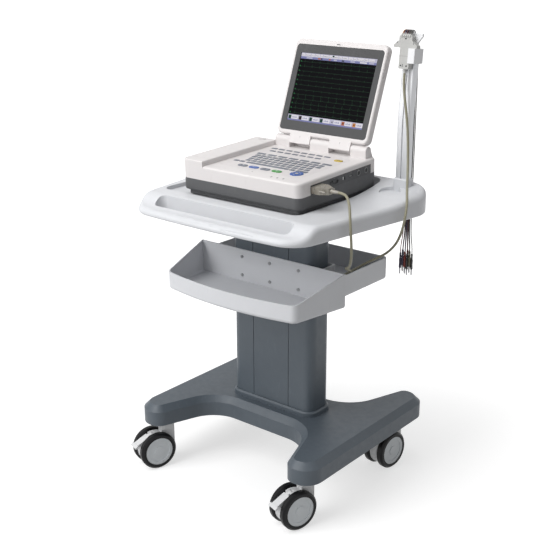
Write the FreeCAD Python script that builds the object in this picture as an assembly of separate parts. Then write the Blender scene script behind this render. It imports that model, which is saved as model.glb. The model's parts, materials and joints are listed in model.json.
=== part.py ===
import FreeCAD, Part
import math
import os
from FreeCAD import Vector as V

os.makedirs("parts", exist_ok=True)

# Electrocardiograph with a tilting display on a mobile trolley.
# Millimetres. +X right seen from the handle side, -Y front (handle side), +Z up.
# The floor is z = 0 and the origin lies under the middle of the object's box.
# Fore-and-aft places are measured from the column's axis, which stands at column_y.

# Column and frame
column_y = 13.5
column_w = 270.0
column_d = 87.0
column_corner_r = 25.0
column_wall = 4.0
panel_w = 122.0
panel_gap = 1.6
panel_t = 3.0
panel_lap = 6.0
collar_w = 7.0
collar_h = 14.0
collar_chamfer = 4.0
slip = 0.3
# How far a cutting block reaches past the face that it cuts
spare = 1.0

# Base moulding with four legs
base_w = 600.0
base_d = 540.0
base_offset_y = 9.0
base_bottom = 130.0
base_h = 56.0
base_chamfer = 16.0
base_wall = 5.0
base_corner_r = 48.0
leg_inner_r = 34.0
leg_root_w = 139.0
notch_r = 95.0
leg_end_w = 77.0
front_notch_depth = 173.0
rear_notch_depth = 185.0
plate_t = 6.0
plate_recess = 2.0

# Twin-wheel casters
wheel_d = 104.0
tyre_w = 21.0
tyre_round = 5.0
hub_d = 79.0
hub_recess = 1.0
wheel_gap = 26.0
caster_side_gap = 1.0
hood_r = 46.0
trail = 38.0
stem_inset = 55.0
front_stem_y = -206.0
rear_stem_y = 199.0
stem_block_d = 38.0
stem_r = 6.0
stem_floor = 40.0
nut_r = 10.0
nut_h = 7.0
thread_end = 2.0
caster_head_w = 36.0
caster_head_r = 8.0
hub_dish_r = 31.0
hub_dish_t = 2.0
hub_boss_r = 13.0
race_r = 17.0
race_h = 4.0
axle_r = 6.0
axle_reach = 13.0
running_gap = 0.05
front_left_turn = -20.0
front_right_turn = -17.0
rear_left_turn = -9.0
rear_right_turn = -7.0
pedal_w = 23.0
pedal_tip_w = 32.0
pedal_t = 7.0
pedal_tip_t = 4.0
pedal_l = 60.0
pedal_drop = 25.0
pedal_tip_l = 9.0
pedal_neck_l = 10.0
pedal_pivot_y = -46.0
pedal_pivot_z = 91.0
pedal_root_w = 12.0
pedal_root_r = 6.0
pedal_pin_r = 2.0
pedal_travel = 9.0
pedal_clear = 0.6
pedal_edge_r = 1.5

# Worktop with its handle
worktop_bottom = 735.0
worktop_front_reach = 291.0
worktop_front_bow = 11.0
worktop_rear_reach = 224.0
worktop_front_w = 534.0
worktop_rear_w = 688.0
worktop_front_r = 75.0
worktop_rear_r = 75.0
worktop_edge_r = 15.0
worktop_foot_r = 7.0
worktop_wall = 5.0
handle_top = 754.0
handle_rise_reach = 262.0
rim_top = 778.0
rim_front_reach = 201.0
rim_bend_y = 9.0
rim_rear_top = 808.0
slot_w = 436.0
slot_front_reach = 249.0
slot_rear_reach = 213.0
slot_end_r = 17.0
recess_floor = 768.0
recess_left = -262.0
recess_right = 185.0
recess_front_reach = 169.0
recess_rear_reach = 201.0
recess_corner_r = 26.0
well_x = 243.0
well_y = 140.0
well_r = 28.5
well_floor = 782.0
bracket_w = 250.0
bracket_d = 170.0
bracket_t = 6.0
bracket_r = 12.0

# Front basket and rear bin
basket_floor = 522.0
basket_back_top = 613.0
basket_front_top = 570.0
basket_back_w = 480.0
basket_front_w = 426.0
basket_depth = 167.0
basket_bow = 25.0
basket_wall = 3.0
basket_corner_r = 20.0
basket_foot_r = 10.0
basket_lip_r = 40.0
bin_floor = 538.0
bin_top = 597.0
bin_w = 436.0
bin_rear_reach = 184.0
bin_front_reach = 39.0
bin_wall = 3.0
bin_corner_r = 15.0
bin_foot_r = 8.0
bin_side_gap = 6.0
screw_pitch_x = 95.0
screw_rows = (542.0, 593.0)
bin_screw_z = 570.0
screw_head_r = 4.2
screw_head_h = 2.4
screw_r = 2.5

# Pole, cable holder and junction box
pole_x = 253.0
pole_y = 185.0
pole_w = 37.0
pole_d = 23.0
pole_corner_r = 5.0
pole_groove_w = 6.0
pole_groove_t = 3.0
pole_wall = 2.5
pole_bend_z = 945.0
pole_bend_r = 500.0
pole_lean = 5.5
socket_w = 46.0
socket_d = 35.0
socket_corner_r = 9.0
socket_top = 816.0
socket_depth = 44.0
socket_floor_t = 4.0
socket_chamfer = 2.0
holder_h = 36.0
holder_lift = 112.0
holder_back_t = 4.0
holder_lip_t = 4.0
holder_slot_w = 27.0
holder_left_t = 4.5
holder_right_t = 17.0
holder_left_set = 13.0
holder_side_d = 33.0
holder_edge_r = 2.0
holder_clamp_t = 5.0
box_w = 28.5
box_d = 17.0
box_drop = 14.5
box_ear_w = 66.0
box_ear_h = 12.0
box_top_w = 37.0
box_top_h = 20.6
box_shoulder = 6.0
box_screw_r = 2.2
box_relief_l = 10.0
box_lead_in = 24.0
box_relief_r = 4.6
box_slip = 0.4
box_edge_r = 3.0
box_ear_r = 2.0
box_screw_depth = 3.0
relief_lip = 0.45
horn_t = 6.0
horn_h = 36.5
horn_reach = 36.5
horn_root_w = 24.0
horn_r = 12.0
horn_edge_r = 2.0
horn_waist = 13.0
horn_blade_h = 7.0
boot_r = 2.5
boot_l = 8.0
boot_pitch = 5.6

# Electrocardiograph case
ecg_x = -14.0
ecg_w = 382.0
ecg_front_reach = 151.0
ecg_rear_reach = 179.0
ecg_corner_r = 19.0
ecg_floor = 771.0
plinth_h = 12.0
plinth_inset = 12.0
shoulder_r = 5.0
deck_front = 850.0
seam_drop = 36.0
deck_slope = 2.0
deck_edge_r = 6.0
case_wall = 3.0
strip_w = 72.0
strip_rise = 13.0
strip_l = 300.0
strip_edge_r = 3.0
foot_r = 9.0
foot_inset = 34.0
panel_front = 44.0
panel_rear = 300.0
panel_h = 24.0
ports_t = 4.0
flange_t = 2.0
flange_lap = 4.0
port_z = 12.0
port_depth = 2.5
serial_y = 142.0
serial_w = 24.0
serial_h = 10.0
serial_r = 2.5
serial_rim_t = 1.0
post_offset = 14.9
post_r = 2.4
post_l = 3.0
square_y = 181.0
square_w = 10.0
square_h = 8.0
slot_port_y = 211.0
slot_port_w = 14.0
slot_port_h = 3.0
jack_places = (245.0, 278.0)
jack_r = 7.0
jack_bore_r = 3.5
jack_rise = 0.8
inlet_x = 60.0
inlet_w = 28.0
inlet_h = 20.0
inlet_d = 14.0
inlet_z = 801.0
inlet_mouth_w = 22.0
inlet_mouth_h = 14.0
inlet_mouth_cut = 4.0
inlet_mouth_d = 10.0
inlet_rim = 2.0
inlet_rim_t = 1.5
board_left = -90.0
board_front = 40.0
board_z = 786.0
board_post_r = 3.0
main_board_w = 220.0
main_board_d = 150.0
battery_gap = 12.0
battery_w = 120.0
battery_d = 70.0
battery_h = 20.0
battery_r = 4.0

# Keyboard on the sloping deck, places measured from the deck's front edge
keys_x = 14.0
window_w = 258.0
window_front = 44.0
window_rear = 268.0
window_r = 6.0
overlay_t = 3.0
overlay_lip_t = 2.0
overlay_lap = 4.0
key_gap = 0.4
key_rise = 2.0
key_depth = 6.0
key_travel = 1.0
key_rest = 0.3
key_draft = 0.7
oval_flat = 0.15
board_t = 1.6
function_row_a = 255.5
function_row_b = 230.2
function_pitch = 25.0
function_first_a = -118.0
function_first_b = -104.0
function_key = (19.0, 9.0)
wide_row = 190.9
wide_pitch = 35.6
wide_first = -110.0
wide_key = (28.0, 11.0)
letter_rows = (172.4, 154.8, 136.3, 118.6)
letter_pitch = 18.9
letter_counts = (12, 12, 11, 11)
letter_firsts = (-107.0, -104.0, -99.0, -94.0)
letter_key = (15.0, 12.0)
space_row = 100.0
space_first = -118.0
space_bar = (136.0, 12.0)
space_bar_x = -15.0
space_side_x = 64.0
enter_key = (34.0, 12.0)
enter_x = 94.0
oval_row = 67.0
oval_pitch = 36.8
oval_first = -69.0
oval_key = (29.0, 15.0)
nav_x = 97.0
nav_y = 75.5
nav_r = 17.0
nav_ring_r = 8.5
nav_groove = 0.6
nav_groove_w = 1.2
power_x = 106.0
power_y = 237.2
power_key_size = (25.0, 13.0)

# Display lid
lid_w = 297.0
lid_x = 17.0
lid_h = 260.5
lid_t = 24.0
lid_corner_r = 16.0
lid_edge_r = 5.0
lid_front_t = 9.0
lid_wall = 2.5
lid_open = 110.4
lid_axis_behind = 14.4
lid_axis_below = 13.3
hinge_y = 304.8
hinge_rise = 17.4
knuckle_r = 12.5
knuckle_gap = 0.6
knuckle_end_w = 48.5
knuckle_tab_w = 68.0
knuckle_skirt = 8.0
tab_barrel_r = 6.0
tab_drop = 3.5
pin_cover = 6.0
hinge_pin_r = 3.0
bezel_w = 281.0
bezel_h = 233.5
bezel_t = 3.0
bezel_r = 9.0
bezel_up = 11.5
bezel_set = 0.3
bezel_lap = 4.0
screen_w = 246.0
screen_h = 184.5
screen_up = 37.5
screen_rim = 8.0
screen_corner_r = 3.0

# Recorder under the raised strip
door_front = 33.0
door_l = 228.0
door_gap = 0.8
door_side_h = 14.0
door_rim = 3.0
door_barrel_r = 4.0
door_pin_r = 2.0
bulkhead_t = 4.0
bulkhead_gap = 2.0
bulkhead_drop = 12.0
latch_w = 16.0
latch_l = 24.0
latch_y = 281.0
latch_rise = 1.2
latch_lap = 2.0
latch_flange_t = 2.0
platen_r = 7.0
platen_core_r = 3.0
platen_x = 14.0
platen_drop = 10.5
platen_end_gap = 8.0
lug_t = 4.0
paper_r = 24.0
paper_x = 38.0
paper_drop = 45.0
paper_l = 212.0
spool_r = 5.0
head_w = 14.0
head_t = 6.0
head_inset = 2.0
head_gap = 0.5
square_corners = ((-1, -1), (1, -1), (1, 1), (-1, 1), (-1, -1))

# Patient cable and leads
cable_d = 6.5
lead_d = 2.6
hood_l = 44.0
hood_w = 42.0
hood_t = 16.0
hood_y = 67.0
relief_l = 22.0
relief_r = 5.6
hood_shoulder_r = 6.0
hood_tail_r = 3.0
hood_tail_rim = 2.0
thumb_short = 4.0
lead_columns = 5
bundle_x = 222.0
bundle_pitch = 3.8
bundle_foot = 728.0
plug_x = 212.4
plug_pitch = 7.6
plug_rise = 650.0
plug_row_gap = 4.0
lead_plug_r = 3.5
lead_plug_l = 44.0
lead_pin_r = 2.0
lead_pin_l = 17.0
lead_end_z = 592.0
lead_stagger = 7.0

# Routes of the patient cable and the leads: x, fore-and-aft place from the column's axis, z
lower_route = [
    (243.0, -84.5, 828.35), (259.0, -84.5, 828.35), (277.0, -94.0, 822.0), (292.0, -108.0, 805.0),
    (302.0, -119.0, 779.0), (307.0, -122.5, 749.0), (306.5, -118.0, 717.0), (299.0, -106.0, 687.0),
    (284.0, -87.0, 661.0), (263.0, -64.0, 640.0), (240.0, -41.0, 629.0), (222.0, -17.0, 617.0),
    (211.5, 11.0, 604.0), (209.4, 41.0, 583.0), (209.4, 70.0, 561.0), (209.4, 97.0, 544.6),
    (209.4, 122.0, 544.6)]
upper_route = [
    (258.5, 166.2, 1027.0), (265.5, 165.5, 991.0), (272.0, 165.0, 948.0), (277.5, 162.0, 901.0),
    (286.0, 151.0, 853.0), (309.0, 114.0, 806.0), (334.0, 77.0, 776.0), (336.0, 60.0, 728.0),
    (317.0, 70.0, 688.0), (287.0, 92.0, 657.0), (252.0, 115.0, 629.0), (223.0, 118.0, 611.0),
    (204.0, 99.0, 599.0), (198.0, 66.0, 592.0), (197.5, 32.0, 590.0), (197.0, -1.6, 587.0),
    (183.4, -15.2, 582.5), (164.1, -15.2, 576.0), (150.5, -1.6, 568.0), (150.5, 17.0, 558.5),
    (150.5, 36.0, 552.0), (150.5, 55.0, 552.0)]

# Coil in the bin's right channel: two layers of long loops, the spread of each run from the middle
coil_x = 178.0
coil_front = 9.0
coil_rear = 129.0
coil_upper_z = 552.0
coil_lower_z = 544.6
coil_left = (27.5, 19.7, 19.7, 27.5)
coil_right = (23.6, 15.8, 23.6, 31.4)

# One lead's arch over the cable holder, inner row, and how far the outer row stands off it
lead_route = [(181.5, 1176.2), (184.0, 1181.4), (190.5, 1185.8), (200.0, 1187.0), (211.5, 1184.0),
              (222.5, 1177.0), (233.0, 1165.0), (242.0, 1148.5), (248.8, 1127.0), (252.6, 1098.0)]
outer_row = [(-7.5, 0.5), (-6.5, 3.2), (-4.5, 4.2), (-1.0, 4.4), (1.5, 4.2),
             (2.6, 3.6), (3.4, 2.9), (4.0, 2.0), (4.4, 1.0), (4.6, 0.2)]
lead_shift = (0.0, 0.0, 0.08, 0.25, 0.45, 0.65, 0.82, 0.93, 0.99, 1.0)

base_front = column_y + base_offset_y - base_d / 2
base_rear = base_front + base_d
notch_half_w = base_w / 2 - leg_root_w
notch_mouth_x = base_w / 2 - leg_end_w
stem_x = base_w / 2 - stem_inset
base_top = base_bottom + base_h
plate_top = base_bottom + plate_recess + plate_t
race_bottom = base_bottom + plate_recess - race_h
column_front = column_y - column_d / 2
column_rear = column_y + column_d / 2
bracket_bottom = recess_floor - worktop_wall - bracket_t
pole_axis_y = column_y + pole_y
ecg_front = column_y - ecg_front_reach
ecg_d = ecg_front_reach + ecg_rear_reach
strip_right = strip_w - ecg_w / 2
lid_offset = lid_x - ecg_x
keys_offset = keys_x - ecg_x
wheel_r = wheel_d / 2
cable_r = cable_d / 2
lead_r = lead_d / 2


def unit(v):
    return v * (1.0 / v.Length)


def box(x0, x1, y0, y1, z0, z1):
    return Part.makeBox(x1 - x0, y1 - y0, z1 - z0, V(x0, y0, z0))


def rod_x(radius, x0, x1, y, z):
    return Part.makeCylinder(radius, x1 - x0, V(x0, y, z), V(1, 0, 0))


def rod_y(radius, x, y0, y1, z):
    return Part.makeCylinder(radius, y1 - y0, V(x, y0, z), V(0, 1, 0))


def rod_z(radius, x, y, z0, z1):
    return Part.makeCylinder(radius, z1 - z0, V(x, y, z0))


def fuse(first, *others):
    return first.fuse(list(others)).removeSplitter()


def rounded(points, radii):
    """Flat face of a polygon whose corners are rounded by tangent arcs."""
    corners = []
    for i, corner in enumerate(points):
        if radii[i] == 0:
            corners.append((corner, None, corner))
            continue
        back = unit(points[i - 1] - corner)
        ahead = unit(points[(i + 1) % len(points)] - corner)
        half = back.getAngle(ahead) / 2
        cut = radii[i] / math.tan(half)
        middle = corner + unit(back + ahead) * (radii[i] / math.sin(half) - radii[i])
        corners.append((corner + back * cut, middle, corner + ahead * cut))
    edges = []
    for i, (start, middle, end) in enumerate(corners):
        if corners[i - 1][2].distanceToPoint(start) > 1e-6:
            edges.append(Part.LineSegment(corners[i - 1][2], start).toShape())
        if middle is not None:
            edges.append(Part.Arc(start, middle, end).toShape())
    return Part.Face(Part.Wire(edges))


def plan_rect(x0, x1, y0, y1, z, radius):
    corners = [V(x0, y0, z), V(x1, y0, z), V(x1, y1, z), V(x0, y1, z)]
    return rounded(corners, [radius] * 4)


def plan_block(x0, x1, y0, y1, z0, z1, radius):
    return plan_rect(x0, x1, y0, y1, z0, radius).extrude(V(0, 0, z1 - z0))


def side_block(profile, radii, x0, x1):
    """Prism along X from a profile of (y, z) points."""
    return rounded([V(x0, y, z) for y, z in profile], radii).extrude(V(x1 - x0, 0, 0))


def front_block(profile, radii, y0, y1):
    """Prism along Y from a profile of (x, z) points."""
    return rounded([V(x, y0, z) for x, z in profile], radii).extrude(V(0, y1 - y0, 0))


def flat_edges(shape, z):
    return [e for e in shape.Edges if abs(e.BoundBox.ZMin - z) < 1e-3 and abs(e.BoundBox.ZMax - z) < 1e-3]


def upright_edges(shape):
    return [e for e in shape.Edges
            if e.BoundBox.ZLength > spare and e.BoundBox.XLength + e.BoundBox.YLength < 1e-3]


def tangent_arc(start, direction, end):
    chord = end - start
    along = unit(direction)
    across = chord - along * chord.dot(along)
    radius = chord.dot(chord) / (2 * across.Length)
    centre = start + unit(across) * radius
    middle = centre + unit((start + end) * 0.5 - centre) * radius
    return Part.Arc(start, middle, end).toShape()


def placed(shape, placement):
    moved = shape.copy()
    moved.Placement = placement.multiply(shape.Placement)
    return moved


# Base, column and bracket

def base_outline(z):
    right = [(notch_half_w, base_front + front_notch_depth, notch_r),
             (notch_mouth_x, base_front, leg_inner_r),
             (base_w / 2, base_front, base_corner_r),
             (base_w / 2, base_rear, base_corner_r),
             (notch_mouth_x, base_rear, leg_inner_r),
             (notch_half_w, base_rear - rear_notch_depth, notch_r)]
    around = right + [(-x, y, radius) for x, y, radius in reversed(right)]
    return rounded([V(x, y, z) for x, y, radius in around], [radius for x, y, radius in around])


def column_outline(z, grow):
    half_w = column_w / 2 + grow
    half_d = column_d / 2 + grow
    return plan_rect(-half_w, half_w, column_y - half_d, column_y + half_d, z, column_corner_r + grow)


def base_moulding():
    outer = base_outline(base_bottom).extrude(V(0, 0, base_h))
    outer = outer.makeChamfer(base_chamfer, flat_edges(outer, base_top))
    inner_top = base_top - base_wall
    inner = base_outline(base_bottom).makeOffset2D(-base_wall).extrude(V(0, 0, base_h - base_wall))
    inner = inner.makeChamfer(base_chamfer, flat_edges(inner, inner_top))
    opening = column_outline(base_bottom, slip).extrude(V(0, 0, base_h + collar_h))
    return fuse(outer.cut(inner), column_collar()).cut(opening)


def stem_places():
    front = column_y + front_stem_y
    rear = column_y + rear_stem_y
    return {"front_left": (-stem_x, front, front_left_turn), "front_right": (stem_x, front, front_right_turn),
            "rear_left": (-stem_x, rear, rear_left_turn), "rear_right": (stem_x, rear, rear_right_turn)}


def base_plate():
    plate = base_outline(base_bottom + plate_recess).makeOffset2D(-base_wall - slip).extrude(V(0, 0, plate_t))
    holes = [rod_z(stem_r + running_gap, x, y, base_bottom, base_top)
             for x, y, turn in stem_places().values()]
    return plate.cut(holes)


def caster_stems():
    solids = []
    for x, y, turn in stem_places().values():
        pin = rod_z(stem_r, x, y, wheel_r + stem_floor, plate_top + nut_h + thread_end)
        solids.append(fuse(pin, rod_z(race_r, x, y, race_bottom, race_bottom + race_h)))
        corners = [V(x, y, plate_top) + V(math.cos(a), math.sin(a), 0) * nut_r
                   for a in [math.radians(60 * i) for i in range(6)]]
        nut = rounded(corners, [0] * 6).extrude(V(0, 0, nut_h))
        solids.append(nut.cut(rod_z(stem_r + running_gap, x, y, plate_top, plate_top + nut_h)))
    return Part.makeCompound(solids)


def column():
    height = bracket_bottom - plate_top
    wall = column_outline(plate_top, 0).cut(column_outline(plate_top, -column_wall))
    tube = wall.extrude(V(0, 0, height))
    seat_y = column_front + panel_t
    ledges = []
    for side in (-1, 1):
        inner = side * (panel_w / 2 - panel_lap)
        outer = side * (panel_w / 2 + panel_lap)
        ledges.append(box(min(inner, outer), max(inner, outer), seat_y, seat_y + column_wall,
                          plate_top, bracket_bottom))
    tube = fuse(tube, *ledges)
    seat = box(-panel_w / 2, panel_w / 2, column_front, seat_y, plate_top, bracket_bottom)
    gap = panel_w / 2 - panel_lap
    opening = box(-gap, gap, column_front, seat_y + column_wall, plate_top, bracket_bottom)
    flange = plan_block(-bracket_w / 2, bracket_w / 2, column_y - bracket_d / 2, column_y + bracket_d / 2,
                        bracket_bottom, bracket_bottom + bracket_t, bracket_r)
    return fuse(tube.cut([seat, opening]), flange)


def column_front_panel():
    half = panel_w / 2 - panel_gap
    return box(-half, half, column_front, column_front + panel_t, plate_top, bracket_bottom)


def column_collar():
    ring = column_outline(base_top, slip + collar_w).extrude(V(0, 0, collar_h))
    return ring.makeChamfer(collar_chamfer, flat_edges(ring, base_top + collar_h))


# Casters, each in a frame with its swivel axis upright through the origin

def caster_place(x, y, turn):
    return FreeCAD.Placement(V(x, y, 0), FreeCAD.Rotation(V(0, 0, 1), turn))


def pedal_slope():
    return math.degrees(math.atan2(pedal_drop, pedal_l))


def pedal_shape():
    """Brake pedal in its own frame: pivot at the origin, blade along -Y."""
    under = pedal_root_r - pedal_t
    tip_half = pedal_tip_t / 2
    blade = side_block([(-pedal_neck_l, pedal_root_r), (-pedal_l, tip_half), (-pedal_l, -tip_half),
                        (-pedal_neck_l, under)],
                       [0, pedal_edge_r, pedal_edge_r, 0], -pedal_w / 2, pedal_w / 2)
    tip = side_block([(pedal_tip_l - pedal_l, pedal_tip_t), (-pedal_l, tip_half), (-pedal_l, -tip_half),
                      (pedal_tip_l - pedal_l, -tip_half)],
                     [0, pedal_edge_r, pedal_edge_r, 0], -pedal_tip_w / 2, pedal_tip_w / 2)
    neck = box(-pedal_root_w / 2, pedal_root_w / 2, -pedal_neck_l - spare, 0, under, pedal_root_r)
    barrel = rod_x(pedal_root_r, -pedal_root_w / 2, pedal_root_w / 2, 0, 0)
    bore = rod_x(pedal_pin_r + running_gap, -pedal_root_w / 2, pedal_root_w / 2, 0, 0)
    return fuse(blade, tip, neck, barrel).cut(bore)


def pedal_place():
    return FreeCAD.Placement(V(0, pedal_pivot_y, pedal_pivot_z), FreeCAD.Rotation(V(1, 0, 0), pedal_slope()))


def caster_housing(with_pedal):
    half = wheel_gap / 2 - caster_side_gap
    block_top = race_bottom - slip
    shoulder = wheel_d + caster_side_gap
    hood = rod_x(hood_r, -half, half, -trail, wheel_r)
    stem = box(-half, half, -stem_block_d / 2, stem_block_d / 2, wheel_r, shoulder)
    head = plan_block(-caster_head_w / 2, caster_head_w / 2, -stem_block_d / 2, stem_block_d / 2,
                      shoulder, block_top, caster_head_r)
    body = fuse(hood, stem, head)
    if with_pedal:
        low = math.radians(pedal_slope() + pedal_travel)
        drop = (pedal_tip_t / 2 + pedal_clear) / math.cos(low)
        slot_r = pedal_root_r + pedal_clear
        start = pedal_pivot_y - slot_r
        start_z = pedal_pivot_z - drop - slot_r * math.tan(low)
        end = -trail - hood_r - pedal_t
        end_z = start_z - (start - end) * math.tan(low)
        above = side_block([(start, start_z), (end, end_z), (end, wheel_d), (start, wheel_d)], [0] * 4,
                           -half, half)
        slot_half = pedal_root_w / 2 + pedal_clear
        slot_floor = min(start_z, pedal_pivot_z - slot_r)
        slot = box(-slot_half, slot_half, start - spare, pedal_pivot_y + slot_r, slot_floor, wheel_d)
        pin = rod_x(pedal_pin_r, -half, half, pedal_pivot_y, pedal_pivot_z)
        body = fuse(body.cut([above, slot]), pin)
    axle_end = wheel_gap / 2 + axle_reach
    axle = rod_x(axle_r, -axle_end, axle_end, -trail, wheel_r)
    bore = rod_z(stem_r + running_gap, 0, 0, wheel_r + stem_floor - slip, block_top)
    return fuse(body, axle).cut(bore)


def caster_hubs():
    hubs = []
    inner = wheel_gap / 2 + hub_recess
    outer = wheel_gap / 2 + tyre_w - hub_recess
    for side in (-1, 1):
        outward = V(side, 0, 0)
        start = V(side * inner, -trail, wheel_r)
        dish_floor = V(side * (outer - hub_dish_t), -trail, wheel_r)
        disc = Part.makeCylinder(hub_d / 2, outer - inner, start, outward)
        dish = Part.makeCylinder(hub_dish_r, hub_dish_t, dish_floor, outward)
        boss = Part.makeCylinder(hub_boss_r, hub_dish_t, dish_floor, outward)
        bore = Part.makeCylinder(axle_r + running_gap, axle_reach - hub_recess + slip, start, outward)
        hubs.append(disc.cut(dish.cut(boss)).cut(bore))
    return Part.makeCompound(hubs)


def caster_tyres():
    tyres = []
    for side in (-1, 1):
        start = V(side * wheel_gap / 2, -trail, wheel_r)
        ring = Part.makeCylinder(wheel_r, tyre_w, start, V(side, 0, 0))
        rims = [e for e in ring.Edges if e.BoundBox.XLength < 1e-3]
        ring = ring.makeChamfer(tyre_round, rims)
        tyres.append(ring.cut(Part.makeCylinder(hub_d / 2, tyre_w, start, V(side, 0, 0))))
    return Part.makeCompound(tyres)


# Worktop, basket and bin

def worktop_plan(inset, z):
    front = column_y - worktop_front_reach + inset
    corner_y = front + worktop_front_bow
    rear = column_y + worktop_rear_reach - inset
    flare = (worktop_rear_w - worktop_front_w) / 2 / (worktop_front_reach + worktop_rear_reach)
    half_front = worktop_front_w / 2 - inset + flare * worktop_front_bow
    half_rear = worktop_rear_w / 2 - inset
    left = V(-half_front, corner_y, z)
    right = V(half_front, corner_y, z)
    edges = [Part.Arc(left, V(0, front, z), right).toShape(),
             Part.LineSegment(right, V(half_rear, rear, z)).toShape(),
             Part.LineSegment(V(half_rear, rear, z), V(-half_rear, rear, z)).toShape(),
             Part.LineSegment(V(-half_rear, rear, z), left).toShape()]
    return Part.Face(Part.Wire(edges))


def worktop_profile(drop):
    """Side profile of the top, lowered by drop, as a prism across the whole width."""
    x0 = -worktop_rear_w / 2 - spare
    front = column_y - worktop_front_reach - spare
    rear = column_y + worktop_rear_reach + spare
    low = V(x0, front, worktop_bottom)
    handle_start = V(x0, front, handle_top - drop)
    rise_start = V(x0, column_y - handle_rise_reach, handle_top - drop)
    rise_end = V(x0, column_y - rim_front_reach, rim_top - drop)
    rise_middle = (rise_start + rise_end) * 0.5
    bend = V(x0, column_y + rim_bend_y, rim_top - drop)
    back_top = V(x0, rear, rim_rear_top - drop)
    back_low = V(x0, rear, worktop_bottom)
    level = V(0, 1, 0)
    edges = [Part.LineSegment(low, handle_start).toShape(),
             Part.LineSegment(handle_start, rise_start).toShape(),
             tangent_arc(rise_start, level, rise_middle),
             tangent_arc(rise_end, level * -1, rise_middle),
             Part.LineSegment(rise_end, bend).toShape(),
             tangent_arc(bend, level, back_top),
             Part.LineSegment(back_top, back_low).toShape(),
             Part.LineSegment(back_low, low).toShape()]
    return Part.Face(Part.Wire(Part.__sortEdges__(edges))).extrude(V(worktop_rear_w + 2 * spare, 0, 0))


def worktop_body(inset):
    height = rim_rear_top - worktop_bottom
    block = worktop_plan(inset, worktop_bottom).extrude(V(0, 0, height))
    front_limit = column_y - worktop_front_reach / 2
    front_edges = [e for e in upright_edges(block) if e.BoundBox.YMin < front_limit]
    block = block.makeFillet(worktop_front_r - inset, front_edges)
    rear_edges = [e for e in upright_edges(block)
                  if e.BoundBox.YMin > column_y + worktop_rear_reach - inset - 1e-3]
    block = block.makeFillet(worktop_rear_r - inset, rear_edges)
    return block.common(worktop_profile(inset))


def rim_edges(block):
    """Upper edges round the outline, without the lines across the top."""
    rear = column_y + worktop_rear_reach
    rim = [e for e in block.Edges if e.BoundBox.ZMin > handle_top - 1e-3]
    return [e for e in rim if e.BoundBox.YLength > 1e-3 or e.BoundBox.YMax > rear - spare]


def slot_block(grow, z0, z1):
    return plan_block(-slot_w / 2 - grow, slot_w / 2 + grow, column_y - slot_front_reach - grow,
                      column_y - slot_rear_reach + grow, z0, z1, slot_end_r + grow)


def recess_block(grow, z0, z1):
    return plan_block(recess_left - grow, recess_right + grow, column_y - recess_front_reach - grow,
                      column_y + recess_rear_reach + grow, z0, z1, recess_corner_r + grow)


def socket_block(grow, z0, z1):
    return plan_block(pole_x - socket_w / 2 - grow, pole_x + socket_w / 2 + grow,
                      pole_axis_y - socket_d / 2 - grow, pole_axis_y + socket_d / 2 + grow, z0, z1,
                      socket_corner_r + grow)


def worktop():
    above = rim_rear_top + worktop_wall
    outer = worktop_body(0)
    outer = outer.makeFillet(worktop_edge_r, rim_edges(outer))
    outer = outer.makeFillet(worktop_foot_r, flat_edges(outer, worktop_bottom))
    socket_floor = socket_top - socket_depth
    keep = [slot_block(worktop_wall, worktop_bottom, above),
            recess_block(worktop_wall, recess_floor - worktop_wall, above),
            rod_z(well_r + worktop_wall, well_x, column_y + well_y, well_floor - worktop_wall, above),
            socket_block(worktop_wall + slip, socket_floor - worktop_wall, above)]
    cavity = worktop_body(worktop_wall).cut(keep)
    holes = [slot_block(0, worktop_bottom, above),
             recess_block(0, recess_floor, above),
             rod_z(well_r, well_x, column_y + well_y, well_floor, above),
             socket_block(slip, socket_floor, above)]
    return outer.cut([cavity] + holes)


def basket_block(inset, floor):
    """The basket's outer form, or its inside where the wall is taken off."""
    back = column_front - inset
    front = column_front - basket_depth + inset
    half_back = basket_back_w / 2 - inset
    half_front = basket_front_w / 2 - inset
    left = V(-half_front, front, floor)
    right = V(half_front, front, floor)
    edges = [Part.Arc(left, V(0, front - basket_bow, floor), right).toShape(),
             Part.LineSegment(right, V(half_back, back, floor)).toShape(),
             Part.LineSegment(V(half_back, back, floor), V(-half_back, back, floor)).toShape(),
             Part.LineSegment(V(-half_back, back, floor), left).toShape()]
    block = Part.Face(Part.Wire(edges)).extrude(V(0, 0, basket_back_top - floor + inset))
    corners = [e for e in upright_edges(block) if e.BoundBox.YMin < front + spare]
    block = block.makeFillet(basket_corner_r - inset, corners)
    foot = [e for e in flat_edges(block, floor) if e.BoundBox.YMin < back - spare]
    return block.makeFillet(basket_foot_r - inset, foot)


def front_basket():
    shell = basket_block(0, basket_floor).cut(basket_block(basket_wall, basket_floor + basket_wall))
    tip = column_front - basket_depth - basket_bow
    above = basket_back_top + basket_wall
    inner_back = column_front - basket_wall
    slope = side_block([(inner_back, basket_back_top), (column_front - basket_depth, basket_front_top),
                        (tip - spare, basket_front_top), (tip - spare, above), (inner_back, above)],
                       [0, basket_lip_r, 0, 0, 0], -basket_back_w / 2, basket_back_w / 2)
    return shell.cut([slope] + screw_holes(basket_screw_places(), inner_back))


def basket_screw_places():
    return [(i * screw_pitch_x, z) for z in screw_rows for i in (-1, 0, 1)]


def screw_holes(places, y):
    return [rod_y(screw_r + slip, x, y - spare, y + basket_wall + spare, z) for x, z in places]


def bin_outline(z):
    front = column_y - bin_front_reach
    rear = column_y + bin_rear_reach
    notch = column_w / 2 + bin_side_gap
    half = bin_w / 2
    points = [(half, front), (half, rear), (-half, rear), (-half, front),
              (-notch, front), (-notch, column_rear), (notch, column_rear), (notch, front)]
    radii = [0 if y == column_rear else bin_corner_r for x, y in points]
    return rounded([V(x, y, z) for x, y in points], radii)


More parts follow.
